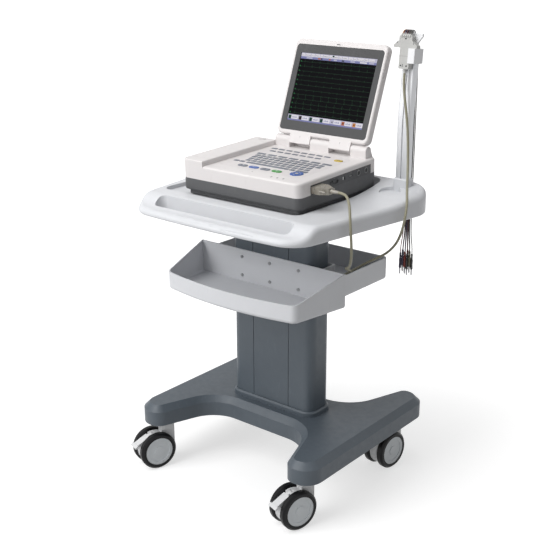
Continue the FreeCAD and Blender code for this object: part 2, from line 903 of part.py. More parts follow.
def rear_bin():
    outer = bin_outline(bin_floor).extrude(V(0, 0, bin_top - bin_floor))
    edge_y = column_y + bin_rear_reach
    foot = [e for e in flat_edges(outer, bin_floor)
            if e.BoundBox.XMax > bin_w / 2 - bin_corner_r or e.BoundBox.XMin < bin_corner_r - bin_w / 2
            or e.BoundBox.YMax > edge_y - spare]
    outer = outer.makeFillet(bin_foot_r, foot)
    inner = bin_outline(bin_floor + bin_wall).makeOffset2D(-bin_wall)
    inner = inner.extrude(V(0, 0, bin_top - bin_floor))
    return outer.cut([inner] + screw_holes(bin_screw_places(), column_rear))


def bin_screw_places():
    return [(i * screw_pitch_x, bin_screw_z) for i in (-1, 1)]


def tray_screws():
    """Screws of the basket and the bin, heads inside the trays, shanks into the column."""
    screws = []
    for x, z in basket_screw_places():
        seat = column_front - basket_wall
        shank = rod_y(screw_r, x, seat - screw_head_h, column_front, z)
        screws.append(fuse(rod_y(screw_head_r, x, seat - screw_head_h, seat, z), shank))
    for x, z in bin_screw_places():
        seat = column_rear + bin_wall
        shank = rod_y(screw_r, x, column_rear, seat + screw_head_h, z)
        screws.append(fuse(rod_y(screw_head_r, x, seat, seat + screw_head_h, z), shank))
    return Part.makeCompound(screws)


# Pole, its socket, the cable holder and the junction box

def pole_section(z):
    half_w = pole_w / 2
    half_d = pole_d / 2
    front = pole_axis_y - half_d
    outer = plan_rect(pole_x - half_w, pole_x + half_w, front, pole_axis_y + half_d, z, pole_corner_r)
    hollow_w = half_w - pole_wall
    inner = plan_rect(pole_x - hollow_w, pole_x + hollow_w, front + pole_groove_t + pole_wall,
                      pole_axis_y + half_d - pole_wall, z, pole_corner_r - pole_wall)
    groove = plan_rect(pole_x - pole_groove_w / 2, pole_x + pole_groove_w / 2, front - pole_groove_t,
                       front + pole_groove_t, z, 0)
    return outer.cut([inner, groove])


def pole_top_place():
    """Frame at the end of the bend: +Z along the leaning tip, +Y back."""
    lean = math.radians(pole_lean)
    y = pole_axis_y + pole_bend_r * (1 - math.cos(lean))
    z = pole_bend_z + pole_bend_r * math.sin(lean)
    return FreeCAD.Placement(V(pole_x, y, z), FreeCAD.Rotation(V(1, 0, 0), -pole_lean))


def pole():
    foot = socket_top - socket_depth + socket_floor_t
    straight = pole_section(foot).extrude(V(0, 0, pole_bend_z - foot))
    section = pole_section(pole_bend_z)
    axis = V(pole_x, pole_axis_y + pole_bend_r, pole_bend_z)
    bend = section.revolve(axis, V(-1, 0, 0), pole_lean)
    end = section.copy()
    end.rotate(axis, V(-1, 0, 0), pole_lean)
    tip = end.extrude(pole_top_place().Rotation.multVec(V(0, 0, holder_lift + holder_h)))
    return fuse(straight, bend, tip)


def pole_socket():
    floor = socket_top - socket_depth
    sleeve = socket_block(0, floor, socket_top)
    sleeve = sleeve.makeChamfer(socket_chamfer, flat_edges(sleeve, socket_top))
    half_w = pole_w / 2 + slip / 2
    half_d = pole_d / 2 + slip / 2
    pocket = plan_block(pole_x - half_w, pole_x + half_w, pole_axis_y - half_d, pole_axis_y + half_d,
                        floor + socket_floor_t, socket_top, pole_corner_r + slip / 2)
    return sleeve.cut(pocket)


def pocket_back():
    return -pole_d / 2 - slip - holder_back_t


def box_middle():
    return pocket_back() - box_slip - box_d / 2


def cable_holder():
    back = pocket_back()
    front = back - box_d - 2 * box_slip - holder_lip_t
    pocket_half = box_w / 2 + box_slip
    left = -pocket_half - holder_left_t
    right = pocket_half + holder_right_t
    low = holder_lift
    top = holder_lift + holder_h
    body = plan_block(left, right, front, back + holder_back_t, low, top, holder_edge_r)
    wing = plan_block(pole_w / 2 + slip, right, front, front + holder_side_d, low, top, holder_edge_r)
    pocket = box(-pocket_half, pocket_half, front + holder_lip_t, back, low, top)
    slot = box(left, holder_slot_w - pocket_half, front, front + holder_lip_t, low, top)
    step = box(left, -pocket_half, front, front + holder_left_set, low, top)
    clamp_half = pole_w / 2 + slip + holder_clamp_t
    clamp = plan_block(-clamp_half, clamp_half, back, pole_d / 2 + slip + holder_clamp_t, low, top,
                       holder_edge_r)
    grow = slip / 2
    hole = plan_block(-pole_w / 2 - grow, pole_w / 2 + grow, -pole_d / 2 - grow, pole_d / 2 + grow, low, top,
                      pole_corner_r + grow)
    foot = top - spare
    peak = top + horn_h
    horn = front_block([(0, foot), (horn_root_w, foot), (horn_root_w, top + horn_waist),
                        (horn_reach, peak - horn_blade_h), (horn_reach, peak), (0, peak)],
                       [0, 0, horn_r, horn_edge_r, horn_edge_r, 2 * horn_edge_r], back, back + horn_t)
    return fuse(fuse(body, wing).cut([pocket, slot, step]), clamp, horn).cut(hole)


def junction_box():
    middle = box_middle()
    half = box_w / 2
    low = holder_lift - box_drop
    seat = holder_lift + holder_h
    top = seat + box_ear_h + box_top_h
    right = [(half, low), (half, seat), (box_ear_w / 2, seat), (box_ear_w / 2, seat + box_ear_h / 2),
             (box_top_w / 2, seat + box_ear_h + box_shoulder), (box_top_w / 2, top - box_shoulder),
             (box_top_w / 2 - box_shoulder, top)]
    radii = [box_edge_r, 0, box_ear_r, box_edge_r, box_edge_r, box_edge_r, box_edge_r]
    profile = right + [(-x, z) for x, z in reversed(right)]
    body = front_block(profile, radii + radii[::-1], middle - box_d / 2, middle + box_d / 2)
    grip = Part.makeCone(box_relief_r, cable_r + relief_lip, box_relief_l, V(0, middle, low), V(0, 0, -1))
    front = middle - box_d / 2
    screw = rod_y(box_screw_r, 0, front, front + box_screw_depth, seat + box_ear_h + box_top_h / 2)
    return fuse(body, grip).cut(screw)


def lead_boots():
    """Sockets on the junction box in which the leads start, in the part's own frame."""
    boots = []
    for route in lead_paths():
        direction = unit(route[1] - route[0])
        boots.append(Part.makeCylinder(boot_r, boot_l, route[0] - direction * boot_l, direction))
    return boots


# Electrocardiograph case, its upper half in a frame that lies along the sloping deck

def deck_place():
    """Frame on the deck: origin in the middle of its front edge, +Y up the slope, +Z out of the deck."""
    lean = seam_drop * math.sin(math.radians(deck_slope))
    return FreeCAD.Placement(V(ecg_x, ecg_front - lean, deck_front), FreeCAD.Rotation(V(1, 0, 0), deck_slope))


def case_plan(inset, z):
    return plan_rect(inset - ecg_w / 2, ecg_w / 2 - inset, inset, ecg_d - inset, z, ecg_corner_r - inset)


def above_seam(x0, x1, y0, y1):
    return placed(box(x0, x1, y0, y1, -seam_drop, ecg_d), deck_place())


def lower_block(inset, floor):
    height = ecg_d * math.sin(math.radians(deck_slope)) + deck_front - floor
    block = case_plan(inset, 0).extrude(V(0, 0, height))
    block.translate(V(ecg_x, ecg_front, floor))
    return block


def ecg_bottom_case():
    shoulder = ecg_floor + plinth_h
    shell = lower_block(0, shoulder)
    shell = shell.makeFillet(shoulder_r, flat_edges(shell, shoulder))
    shell = fuse(shell, lower_block(plinth_inset, ecg_floor))
    inner = lower_block(case_wall, shoulder + case_wall)
    well = lower_block(plinth_inset + case_wall, ecg_floor + case_wall)
    over = above_seam(-ecg_w, ecg_w, -ecg_d, 2 * ecg_d)
    inlet = box(inlet_x - inlet_w / 2, inlet_x + inlet_w / 2, ecg_front + ecg_d - plinth_inset,
                ecg_front + ecg_d + spare, inlet_z - inlet_h / 2, inlet_z + inlet_h / 2)
    shell = shell.cut([inner, well, over, inlet])
    posts = [rod_z(board_post_r, x, y, ecg_floor + case_wall / 2, board_z) for x, y in board_post_places()]
    return fuse(shell, *posts)


def board_post_places():
    inset = 2 * board_post_r
    return [(x, y) for x in (board_left + inset, board_left + main_board_w - inset)
            for y in (ecg_front + board_front + inset, ecg_front + board_front + main_board_d - inset)]


def main_board():
    front = ecg_front + board_front
    return box(board_left, board_left + main_board_w, front, front + main_board_d, board_z, board_z + board_t)


def battery_pack():
    front = ecg_front + board_front + main_board_d + battery_gap
    return plan_block(board_left, board_left + battery_w, front, front + battery_d, ecg_floor + case_wall,
                      ecg_floor + case_wall + battery_h, battery_r)


def mains_inlet():
    rear = ecg_front + ecg_d
    half_w = inlet_w / 2 - slip / 2
    half_h = inlet_h / 2 - slip / 2
    body = box(inlet_x - half_w, inlet_x + half_w, rear - inlet_d, rear, inlet_z - half_h, inlet_z + half_h)
    flange = box(inlet_x - half_w - inlet_rim, inlet_x + half_w + inlet_rim, rear, rear + inlet_rim_t,
                 inlet_z - half_h - inlet_rim, inlet_z + half_h + inlet_rim)
    left = inlet_x - inlet_mouth_w / 2
    right = inlet_x + inlet_mouth_w / 2
    low = inlet_z - inlet_mouth_h / 2
    high = inlet_z + inlet_mouth_h / 2
    mouth = front_block([(left, low), (right, low), (right, high - inlet_mouth_cut),
                         (right - inlet_mouth_cut, high), (left + inlet_mouth_cut, high),
                         (left, high - inlet_mouth_cut)],
                        [0] * 6, rear - inlet_mouth_d, rear + inlet_rim_t)
    return fuse(body, flange).cut(mouth)


def ecg_feet():
    feet = []
    for x in (ecg_x - ecg_w / 2 + foot_inset, ecg_x + ecg_w / 2 - foot_inset):
        for y in (ecg_front + foot_inset, ecg_front + ecg_d - foot_inset):
            feet.append(rod_z(foot_r, x, y, recess_floor, ecg_floor))
    return Part.makeCompound(feet)


def strip_block(inset):
    top = strip_rise - inset
    block = case_plan(inset, -seam_drop).extrude(V(0, 0, seam_drop + top))
    strip = block.common(box(-ecg_w, strip_right - inset, 0, strip_l - inset, -seam_drop, top))
    if inset:
        return strip
    return strip.makeFillet(strip_edge_r, flat_edges(strip, top))


def knuckle_spans():
    """Spans along the hinge of the case's knuckles and of the lid's tabs, from the lid's middle."""
    left = -lid_w / 2
    tab = left + knuckle_end_w + knuckle_gap
    middle = tab + knuckle_tab_w + knuckle_gap
    case = [(left, left + knuckle_end_w), (middle, -middle), (lid_w / 2 - knuckle_end_w, lid_w / 2)]
    return case, [(tab, tab + knuckle_tab_w), (-tab - knuckle_tab_w, -tab)]


def case_knuckles():
    knuckles = []
    for x0, x1 in knuckle_spans()[0]:
        near = hinge_y - knuckle_r
        far = hinge_y + knuckle_r
        foot = side_block([(near, hinge_rise), (near, -case_wall / 2), (far + knuckle_skirt, -case_wall / 2),
                           (far, hinge_rise)],
                          [0] * 4, lid_offset + x0, lid_offset + x1)
        knuckles.append(fuse(foot, rod_x(knuckle_r, lid_offset + x0, lid_offset + x1, hinge_y, hinge_rise)))
    return knuckles


def door_axis():
    return strip_right - door_rim - door_gap - door_barrel_r, strip_rise - door_barrel_r


def door_ends():
    return door_front, door_front + door_l


def roll_axis():
    return paper_x - ecg_w / 2, strip_rise - paper_drop


def plain_case():
    """The upper case's shell, before the recorder's door is parted from it."""
    block = case_plan(0, -seam_drop).extrude(V(0, 0, seam_drop))
    block = block.makeFillet(deck_edge_r, flat_edges(block, 0))
    outer = fuse(block, strip_block(0))
    inner = case_plan(case_wall, -seam_drop).extrude(V(0, 0, seam_drop - case_wall))
    return outer.cut([inner, strip_block(case_wall)])


def bulkhead_spans():
    start, end = door_ends()
    return [(start - bulkhead_gap - bulkhead_t, start - bulkhead_gap),
            (end + bulkhead_gap, end + bulkhead_gap + bulkhead_t)]


def ecg_top_case():
    start, end = door_ends()
    pin_x, pin_z = door_axis()
    roll_x, roll_z = roll_axis()
    side_low = strip_rise - door_side_h
    shell = plain_case()
    zone = box(-ecg_w, pin_x, start, end, side_low, 2 * strip_rise)
    barrel = rod_y(door_barrel_r + door_gap, pin_x, start, end, pin_z)
    shell = shell.cut([zone, barrel])
    left = case_wall + slip - ecg_w / 2
    right = strip_right - case_wall / 2
    heads = [box(left, right, y0, y1, -seam_drop - bulkhead_drop, strip_rise - case_wall / 2)
             for y0, y1 in bulkhead_spans()]
    shell = fuse(shell, *heads, *case_knuckles())
    first, last = bulkhead_spans()[0][0], bulkhead_spans()[1][1]
    cuts = [rod_y(door_pin_r + running_gap, pin_x, first, start, pin_z),
            rod_y(door_pin_r + running_gap, pin_x, end, last, pin_z),
            rod_y(spool_r + running_gap, roll_x, first, last, roll_z),
            rod_x(hinge_pin_r, lid_offset - lid_w / 2 + pin_cover, lid_offset + lid_w / 2 - pin_cover,
                  hinge_y, hinge_rise),
            window_block(0, -deck_edge_r, spare),
            box(ecg_w / 2 - 2 * case_wall, ecg_w, panel_front, panel_rear, -seam_drop, panel_h - seam_drop),
            latch_block(key_gap, -strip_rise, 2 * strip_rise)]
    return placed(shell.cut(cuts), deck_place())


def connector_panel():
    half = ecg_w / 2
    low = -seam_drop
    plate = box(half - ports_t, half, panel_front + slip, panel_rear - slip, low, low + panel_h - slip)
    inside = half - case_wall
    flange = box(inside - flange_t, inside, panel_front - flange_lap, panel_rear + flange_lap,
                 low, low + panel_h + flange_lap)
    z = port_z - seam_drop
    posts = [rod_x(post_r, half - spare, half + post_l, serial_y + side * post_offset, z) for side in (-1, 1)]
    shell = side_block(serial_profile(0), [serial_r] * 4, half - spare, half + post_l)
    body = fuse(plate, flange, shell, *posts)
    rings = []
    pockets = [side_block(serial_profile(serial_rim_t), [serial_r - serial_rim_t] * 4,
                          half + post_l - port_depth, half + post_l),
               box(half - port_depth, half, square_y - square_w / 2, square_y + square_w / 2,
                   z - square_h / 2, z + square_h / 2),
               box(half - port_depth, half, slot_port_y - slot_port_w / 2, slot_port_y + slot_port_w / 2,
                   z - slot_port_h / 2, z + slot_port_h / 2)]
    for y in jack_places:
        rings.append(rod_x(jack_r, half - spare, half + jack_rise, y, z))
        pockets.append(rod_x(jack_bore_r, half - port_depth, half + jack_rise, y, z))
    return placed(fuse(body, *rings).cut(pockets), deck_place())


def serial_profile(inset):
    z = port_z - seam_drop
    long_half = serial_w / 2 - inset
    short_half = long_half - serial_h / 4
    half_h = serial_h / 2 - inset
    return [(serial_y - short_half, z - half_h), (serial_y + short_half, z - half_h),
            (serial_y + long_half, z + half_h), (serial_y - long_half, z + half_h)]


# Keyboard

def window_block(grow, z0, z1):
    half = window_w / 2 + grow
    return plan_block(keys_offset - half, keys_offset + half, window_front - grow, window_rear + grow, z0, z1,
                      window_r + grow)


def key_row(count, first_x, pitch, y, size):
    return [(first_x + i * pitch + keys_offset, y, size[0], size[1]) for i in range(count)]


def function_places():
    return (key_row(8, function_first_a, function_pitch, function_row_a, function_key)
            + key_row(7, function_first_b, function_pitch, function_row_b, function_key)
            + key_row(7, wide_first, wide_pitch, wide_row, wide_key))


def letter_places():
    places = []
    for count, first, y in zip(letter_counts, letter_firsts, letter_rows):
        places += key_row(count, first, letter_pitch, y, letter_key)
    places += key_row(2, space_first, letter_pitch, space_row, letter_key)
    places += key_row(1, space_bar_x, 0, space_row, space_bar)
    places += key_row(1, space_side_x, 0, space_row, letter_key)
    return places + key_row(1, enter_x, 0, space_row, enter_key)


def oval_places():
    return [(keys_offset + oval_first + i * oval_pitch, oval_row) for i in range(4)]


def key_cap(x, y, w, d, grow):
    """A key's body with drafted sides, or the straight hole that it moves in."""
    half_w = w / 2 + grow
    half_d = d / 2 + grow
    if grow:
        return box(x - half_w, x + half_w, y - half_d, y + half_d, -seam_drop, spare)
    foot = Part.makePolygon([V(x + sx * half_w, y + sy * half_d, -key_depth) for sx, sy in square_corners])
    half_w -= key_draft
    half_d -= key_draft
    top = Part.makePolygon([V(x + sx * half_w, y + sy * half_d, key_rise) for sx, sy in square_corners])
    return Part.makeLoft([foot, top], True, True)


def oval_cap(x, y, w, d, grow):
    low, high = (-seam_drop, spare) if grow else (-key_depth, key_rise)
    half_w = w / 2 + grow
    half_d = d / 2 + grow
    cap = plan_block(x - half_w, x + half_w, y - half_d, y + half_d, low, high, half_d - oval_flat)
    return cap if grow else cap.makeChamfer(key_draft, flat_edges(cap, high))


def nav_cap(grow):
    x = keys_offset + nav_x
    if grow:
        return rod_z(nav_r + grow, x, nav_y, -seam_drop, spare)
    pad = rod_z(nav_r, x, nav_y, -key_depth, key_rise)
    pad = pad.makeChamfer(key_draft, flat_edges(pad, key_rise))
    groove = rod_z(nav_ring_r, x, nav_y, key_rise - nav_groove, key_rise)
    return pad.cut(groove.cut(rod_z(nav_ring_r - nav_groove_w, x, nav_y, key_rise - nav_groove, key_rise)))


def keyboard_panel():
    foot = -overlay_t - overlay_lip_t
    plate = fuse(window_block(-slip, foot, 0), window_block(overlay_lap, foot, -overlay_t))
    posts = [rod_z(board_post_r, x, y, board_top(), -overlay_t) for x, y in keypad_post_places()]
    holes = [key_cap(x, y, w, d, key_gap) for x, y, w, d in function_places() + letter_places()]
    holes += [oval_cap(x, y, oval_key[0], oval_key[1], key_gap) for x, y in oval_places()]
    holes += [nav_cap(key_gap), oval_cap(keys_offset + power_x, power_y, *power_key_size, key_gap)]
    return placed(fuse(plate, *posts).cut(holes), deck_place())


def board_top():
    return -key_depth - key_travel - key_rest


def keypad_post_places():
    half = window_w / 2
    return [(keys_offset + side * half, y) for side in (-1, 1) for y in (window_front, window_rear)]


def keypad_board():
    return placed(window_block(board_post_r, board_top() - board_t, board_top()), deck_place())


def key_group(places):
    keys = [placed(key_cap(x, y, w, d, 0), deck_place()) for x, y, w, d in places]
    return Part.makeCompound(keys)


# Display lid, in a frame with the hinge axis along X through the origin and the lid upright

def lid_place():
    hinge = deck_place().multVec(V(lid_offset, hinge_y, hinge_rise))
    return FreeCAD.Placement(hinge, FreeCAD.Rotation(V(1, 0, 0), 90 - lid_open))


def lid_rect(w, low, h, radius, y0, y1):
    half = w / 2
    return front_block([(-half, low), (half, low), (half, low + h), (-half, low + h)], [radius] * 4, y0, y1)


def lid_block(inset):
    face = -lid_axis_behind
    block = lid_rect(lid_w - 2 * inset, lid_axis_below + inset, lid_h - 2 * inset, lid_corner_r - inset,
                     face + inset, face + lid_t - inset)
    rims = [e for e in block.Edges if e.BoundBox.YLength < 1e-3]
    return block.makeFillet(lid_edge_r - inset, rims)


def lid_front_frame():
    face = -lid_axis_behind
    split = face + lid_front_t
    frame = lid_block(0).common(box(-lid_w, lid_w, face, split, 0, 2 * lid_h))
    tabs = []
    for x0, x1 in knuckle_spans()[1]:
        tabs.append(rod_x(tab_barrel_r, x0, x1, 0, 0))
        tabs.append(box(x0, x1, face, split, -tab_drop, lid_axis_below + lid_edge_r))
    seat = lid_rect(bezel_w + slip, bezel_low() - slip / 2, bezel_h + slip, bezel_r,
                    face, face + bezel_set + bezel_t)
    window = lid_rect(bezel_w - 2 * bezel_lap, bezel_low() + bezel_lap, bezel_h - 2 * bezel_lap,
                      bezel_r - bezel_lap, face, split)
    bore = rod_x(hinge_pin_r + running_gap, -lid_w / 2, lid_w / 2, 0, 0)
    return placed(fuse(frame, *tabs).cut([seat, window, bore]), lid_place())


def lid_back_cover():
    split = lid_front_t - lid_axis_behind
    behind = box(-lid_w, lid_w, split, lid_t, 0, 2 * lid_h)
    cover = lid_block(0).common(behind)
    return placed(cover.cut(lid_block(lid_wall).common(behind)), lid_place())


def bezel_low():
    return lid_axis_below + bezel_up


def display_bezel():
    face = bezel_set - lid_axis_behind
    plate = lid_rect(bezel_w, bezel_low(), bezel_h, bezel_r, face, face + bezel_t)
    window = lid_rect(screen_w, lid_axis_below + screen_up, screen_h, 0, face, face + bezel_t)
    return placed(plate.cut(window), lid_place())


def display_panel():
    face = bezel_set + bezel_t - lid_axis_behind
    split = lid_front_t - lid_axis_behind
    panel = lid_rect(screen_w + 2 * screen_rim, lid_axis_below + screen_up - screen_rim,
                     screen_h + 2 * screen_rim, screen_corner_r, face, split)
    return placed(panel, lid_place())


def lid_hinge_pin():
    half = lid_w / 2 - pin_cover
    return placed(rod_x(hinge_pin_r, lid_offset - half, lid_offset + half, hinge_y, hinge_rise), deck_place())


# Chart recorder under the raised strip

def latch_block(grow, z0, z1):
    x = (strip_right - ecg_w / 2) / 2
    return plan_block(x - latch_l / 2 - grow, x + latch_l / 2 + grow, latch_y - latch_w / 2 - grow,
                      latch_y + latch_w / 2 + grow, z0, z1, latch_w / 2 + grow - oval_flat)


def door_latch():
    under = strip_rise - case_wall
    cap = latch_block(0, under - slip, strip_rise + latch_rise)
    cap = cap.makeChamfer(key_draft, flat_edges(cap, strip_rise + latch_rise))
    flange = latch_block(latch_lap, under - slip - latch_flange_t, under - slip)
    return placed(fuse(cap, flange), deck_place())


def platen_axis():
    return platen_x - ecg_w / 2, strip_rise - platen_drop


def printer_door():
    start, end = door_ends()
    pin_x, pin_z = door_axis()
    roller_x, roller_z = platen_axis()
    first, last = bulkhead_spans()[0][0], bulkhead_spans()[1][1]
    low = strip_rise - door_side_h + door_gap
    sheet = plain_case().common(box(-ecg_w, pin_x, start + door_gap, end - door_gap, low, 2 * strip_rise))
    barrel = rod_y(door_barrel_r, pin_x, start + door_gap, end - door_gap, pin_z)
    pins = rod_y(door_pin_r, pin_x, first + slip, last - slip, pin_z)
    lugs = []
    for y in (start + platen_end_gap - lug_t, end - platen_end_gap):
        lugs.append(box(roller_x - platen_core_r - lug_t, roller_x + platen_core_r + lug_t, y, y + lug_t,
                        roller_z - platen_core_r - lug_t / 2, strip_rise - case_wall / 2))
    bore = rod_y(platen_core_r + running_gap, roller_x, start, end, roller_z)
    return placed(fuse(sheet, barrel, pins, *lugs).cut(bore), deck_place())


def platen_roller():
    start, end = door_ends()
    x, z = platen_axis()
    roller = rod_y(platen_r, x, start + platen_end_gap + slip, end - platen_end_gap - slip, z)
    core = rod_y(platen_core_r, x, start + platen_end_gap - lug_t, end - platen_end_gap + lug_t, z)
    return placed(fuse(roller, core), deck_place())


def print_head():
    x, z = platen_axis()
    left = case_wall + head_inset - ecg_w / 2
    top = z - platen_r - head_gap
    return placed(box(left, left + head_w, bulkhead_spans()[0][1], bulkhead_spans()[1][0], top - head_t, top),
                  deck_place())


def paper_roll():
    start, end = door_ends()
    x, z = roll_axis()
    middle = (start + end) / 2
    roll = rod_y(paper_r, x, middle - paper_l / 2, middle + paper_l / 2, z)
    spool = rod_y(spool_r, x, bulkhead_spans()[0][0], bulkhead_spans()[1][1], z)
    return placed(fuse(roll, spool), deck_place())


# Patient cable and leads

def route_points(route):
    return [V(x, column_y + y, z) for x, y, z in route]


def rounded_path(points, name):
    """Straight runs joined by tangent arcs as large as their runs allow."""
    edges = []
    radii = []
    last = points[0]
    for before, corner, after in zip(points, points[1:], points[2:]):
        back = unit(before - corner)
        ahead = unit(after - corner)
        half_turn = (math.pi - back.getAngle(ahead)) / 2
        cut = 0.45 * min((before - corner).Length, (after - corner).Length)
        radius = cut / math.tan(half_turn)
        middle = corner + unit(back + ahead) * (radius / math.cos(half_turn) - radius)
        edges.append(Part.LineSegment(last, corner + back * cut).toShape())
        edges.append(Part.Arc(corner + back * cut, middle, corner + ahead * cut).toShape())
        last = corner + ahead * cut
        radii.append(radius)
    edges.append(Part.LineSegment(last, points[-1]).toShape())
    print(name, "radii", " ".join("%.0f" % radius for radius in radii))
    return Part.Wire(edges)


def tube(path, radius, name):
    start = path.Edges[0].firstVertex().Point
    direction = path.Edges[0].tangentAt(path.Edges[0].FirstParameter)
    section = Part.Wire(Part.makeCircle(radius, start, direction))
    sweep = Part.BRepOffsetAPI.MakePipeShell(path)
    sweep.add(section)
    sweep.build()
    sweep.makeSolid()
    solid = sweep.shape()
    share = solid.Volume / (math.pi * radius * radius * path.Length)
    print(name, "length %.0f" % path.Length, "volume over section times length %.4f" % share, solid.isValid())
    return solid


def coil_path():
    """Long loops that spiral in on the upper layer, climb down along one run and spiral out below."""
    front = column_y + coil_front
    rear = column_y + coil_rear
    edges = []

    def turn(x0, x1, y, z, way):
        middle = V((x0 + x1) / 2, y + way * abs(x1 - x0) / 2, z)
        edges.append(Part.Arc(V(x0, y, z), middle, V(x1, y, z)).toShape())

    left = [coil_x - spread for spread in coil_left]
    right = [coil_x + spread for spread in coil_right]
    start = V(left[0], column_y + upper_route[-1][1], coil_upper_z)
    edges.append(Part.LineSegment(start, V(left[0], rear, coil_upper_z)).toShape())
    for lap in range(4):
        z = coil_upper_z if lap < 2 else coil_lower_z
        turn(left[lap], right[lap], rear, z, 1)
        if lap == 3:
            break
        top = V(right[lap], rear, z)
        if lap == 1:
            z = coil_lower_z
            low = V(right[lap], front, z)
            middle = (top + low) * 0.5
            edges.append(tangent_arc(top, V(0, -1, 0), middle))
            edges.append(tangent_arc(low, V(0, 1, 0), middle))
        else:
            edges.append(Part.LineSegment(top, V(right[lap], front, z)).toShape())
        turn(right[lap], left[lap + 1], front, z, -1)
        edges.append(Part.LineSegment(V(left[lap + 1], front, z), V(left[lap + 1], rear, z)).toShape())
    end = V(right[3], column_y + lower_route[-1][1], coil_lower_z)
    edges.append(Part.LineSegment(V(right[3], rear, coil_lower_z), end).toShape())
    return Part.Wire(edges)


def least_gap(path):
    """Least clear gap of the coil to itself, on points along its line more than half a loop's end apart."""
    step = cable_r
    points = path.discretize(Distance=step)
    skip = int(math.pi * min(coil_right) / step)
    least = min(points[i].distanceToPoint(q) for i in range(len(points)) for q in points[i + skip:])
    return least - cable_d


def trunk_plug():
    half = ecg_w / 2
    z = port_z - seam_drop
    waist = half + hood_l / 2
    tail = half + hood_l
    right = [(half, hood_w / 2), (waist, hood_w / 2), (tail, relief_r + hood_tail_rim)]
    outline = [V(x, hood_y - y, z - hood_t / 2) for x, y in right]
    outline += [V(x, hood_y + y, z - hood_t / 2) for x, y in reversed(right)]
    radii = [0, hood_shoulder_r, hood_tail_r, hood_tail_r, hood_shoulder_r, 0]
    hood = rounded(outline, radii).extrude(V(0, 0, hood_t))
    relief = Part.makeCone(relief_r, cable_r + relief_lip, relief_l, V(tail, hood_y, z), V(1, 0, 0))
    thumbs = [rod_x(post_r, half, tail - thumb_short, hood_y + side * (hood_w / 2 - post_r), z)
              for side in (-1, 1)]
    return placed(fuse(hood, relief, *thumbs), deck_place())


def upper_points():
    """Route of the upper cable, straight out of the junction box's grip first."""
    place = pole_top_place()
    mouth = holder_lift - box_drop - box_relief_l
    start = [place.multVec(V(0, box_middle(), mouth - run)) for run in (0, box_lead_in)]
    return start + route_points(upper_route)


def lead_paths():
    """Points of each lead: over the top, down behind the worktop in a bundle, then spread out to its plug."""
    paths = []
    for row in (0, 1):
        for i in range(lead_columns):
            start_x = pole_x + (i - (lead_columns - 1) / 2) * boot_pitch
            end_x = bundle_x + i * bundle_pitch
            points = []
            for (y, z), (off_y, off_z), shift in zip(lead_route, outer_row, lead_shift):
                x = start_x + (end_x - start_x) * shift
                points.append(V(x, column_y + y + row * off_y, z + row * off_z))
            points.append(V(end_x, points[-1].y, bundle_foot))
            hang = V(plug_x + i * plug_pitch, points[-1].y + row * plug_row_gap, plug_rise)
            points.append(hang)
            points.append(V(hang.x, hang.y, lead_end_z + lead_stagger * ((2 * i + row) % 3)))
            paths.append(points)
    return paths


def lead_wires():
    wires = []
    for i, points in enumerate(lead_paths()):
        wires.append(tube(rounded_path(points, "lead %d" % i), lead_r, "lead %d" % i))
    return Part.makeCompound(wires)


def lead_plugs():
    plugs = []
    for points in lead_paths():
        end = points[-1]
        plug = rod_z(lead_plug_r, end.x, end.y, end.z - lead_plug_l, end.z)
        plugs.append(plug.makeChamfer(lead_plug_r / 2, flat_edges(plug, end.z)))
    return Part.makeCompound(plugs)


def lead_pins():
    pins = []
    for points in lead_paths():
        foot = points[-1].z - lead_plug_l
        pins.append(rod_z(lead_pin_r, points[-1].x, points[-1].y, foot - lead_pin_l, foot))
    return Part.makeCompound(pins)


nodes = {
    "base_moulding": base_moulding(),
    "base_plate": base_plate(),
    "caster_stems": caster_stems(),
    "column": column(),
    "column_front_panel": column_front_panel(),
    "worktop": worktop(),
    "front_basket": front_basket(),
    "rear_bin": rear_bin(),
    "tray_screws": tray_screws(),
    "pole_socket": pole_socket(),
    "pole": pole(),
    "cable_holder": placed(cable_holder(), pole_top_place()),
    "junction_box": fuse(placed(junction_box(), pole_top_place()), *lead_boots()),
    "ecg_bottom_case": ecg_bottom_case(),
    "ecg_top_case": ecg_top_case(),
    "ecg_feet": ecg_feet(),
    "connector_panel": connector_panel(),
    "mains_inlet": mains_inlet(),
    "circuit_boards": Part.makeCompound([main_board(), keypad_board()]),
    "battery_pack": battery_pack(),
    "keyboard_panel": keyboard_panel(),
    "function_keys": key_group(function_places()),
    "letter_keys": key_group(letter_places()),
    "nav_pad": placed(nav_cap(0), deck_place()),
    "power_key": placed(oval_cap(keys_offset + power_x, power_y, *power_key_size, 0), deck_place()),
    "lid_front_frame": lid_front_frame(),
    "lid_back_cover": lid_back_cover(),
    "display_bezel": display_bezel(),
    "display_panel": display_panel(),
    "lid_hinge_pin": lid_hinge_pin(),
    "printer_door": printer_door(),
    "door_latch": door_latch(),
    "platen_roller": platen_roller(),
    "print_head": print_head(),
    "paper_roll": paper_roll(),
    "trunk_plug": trunk_plug(),
    "trunk_cable_lower": tube(rounded_path(route_points(lower_route), "lower cable"), cable_r, "lower cable"),
    "trunk_cable_upper": tube(rounded_path(upper_points(), "upper cable"), cable_r, "upper cable"),
    "trunk_coil": tube(coil_path(), cable_r, "coil"),
    "lead_wires": lead_wires(),
    "lead_plugs": lead_plugs(),
    "lead_pins": lead_pins(),
}

for name, (x, y) in zip(("copy_key", "mode_key", "menu_key", "print_key"), oval_places()):
    nodes[name] = placed(oval_cap(x, y, oval_key[0], oval_key[1], 0), deck_place())

for corner, (x, y, turn) in stem_places().items():
    has_pedal = corner.startswith("front")
    place = caster_place(x, y, turn)
    nodes["%s_caster_housing" % corner] = placed(caster_housing(has_pedal), place)
    nodes["%s_caster_hubs" % corner] = placed(caster_hubs(), place)
    nodes["%s_caster_tyres" % corner] = placed(caster_tyres(), place)
    if has_pedal:
        nodes["%s_caster_brake" % corner] = placed(pedal_shape(), place.multiply(pedal_place()))

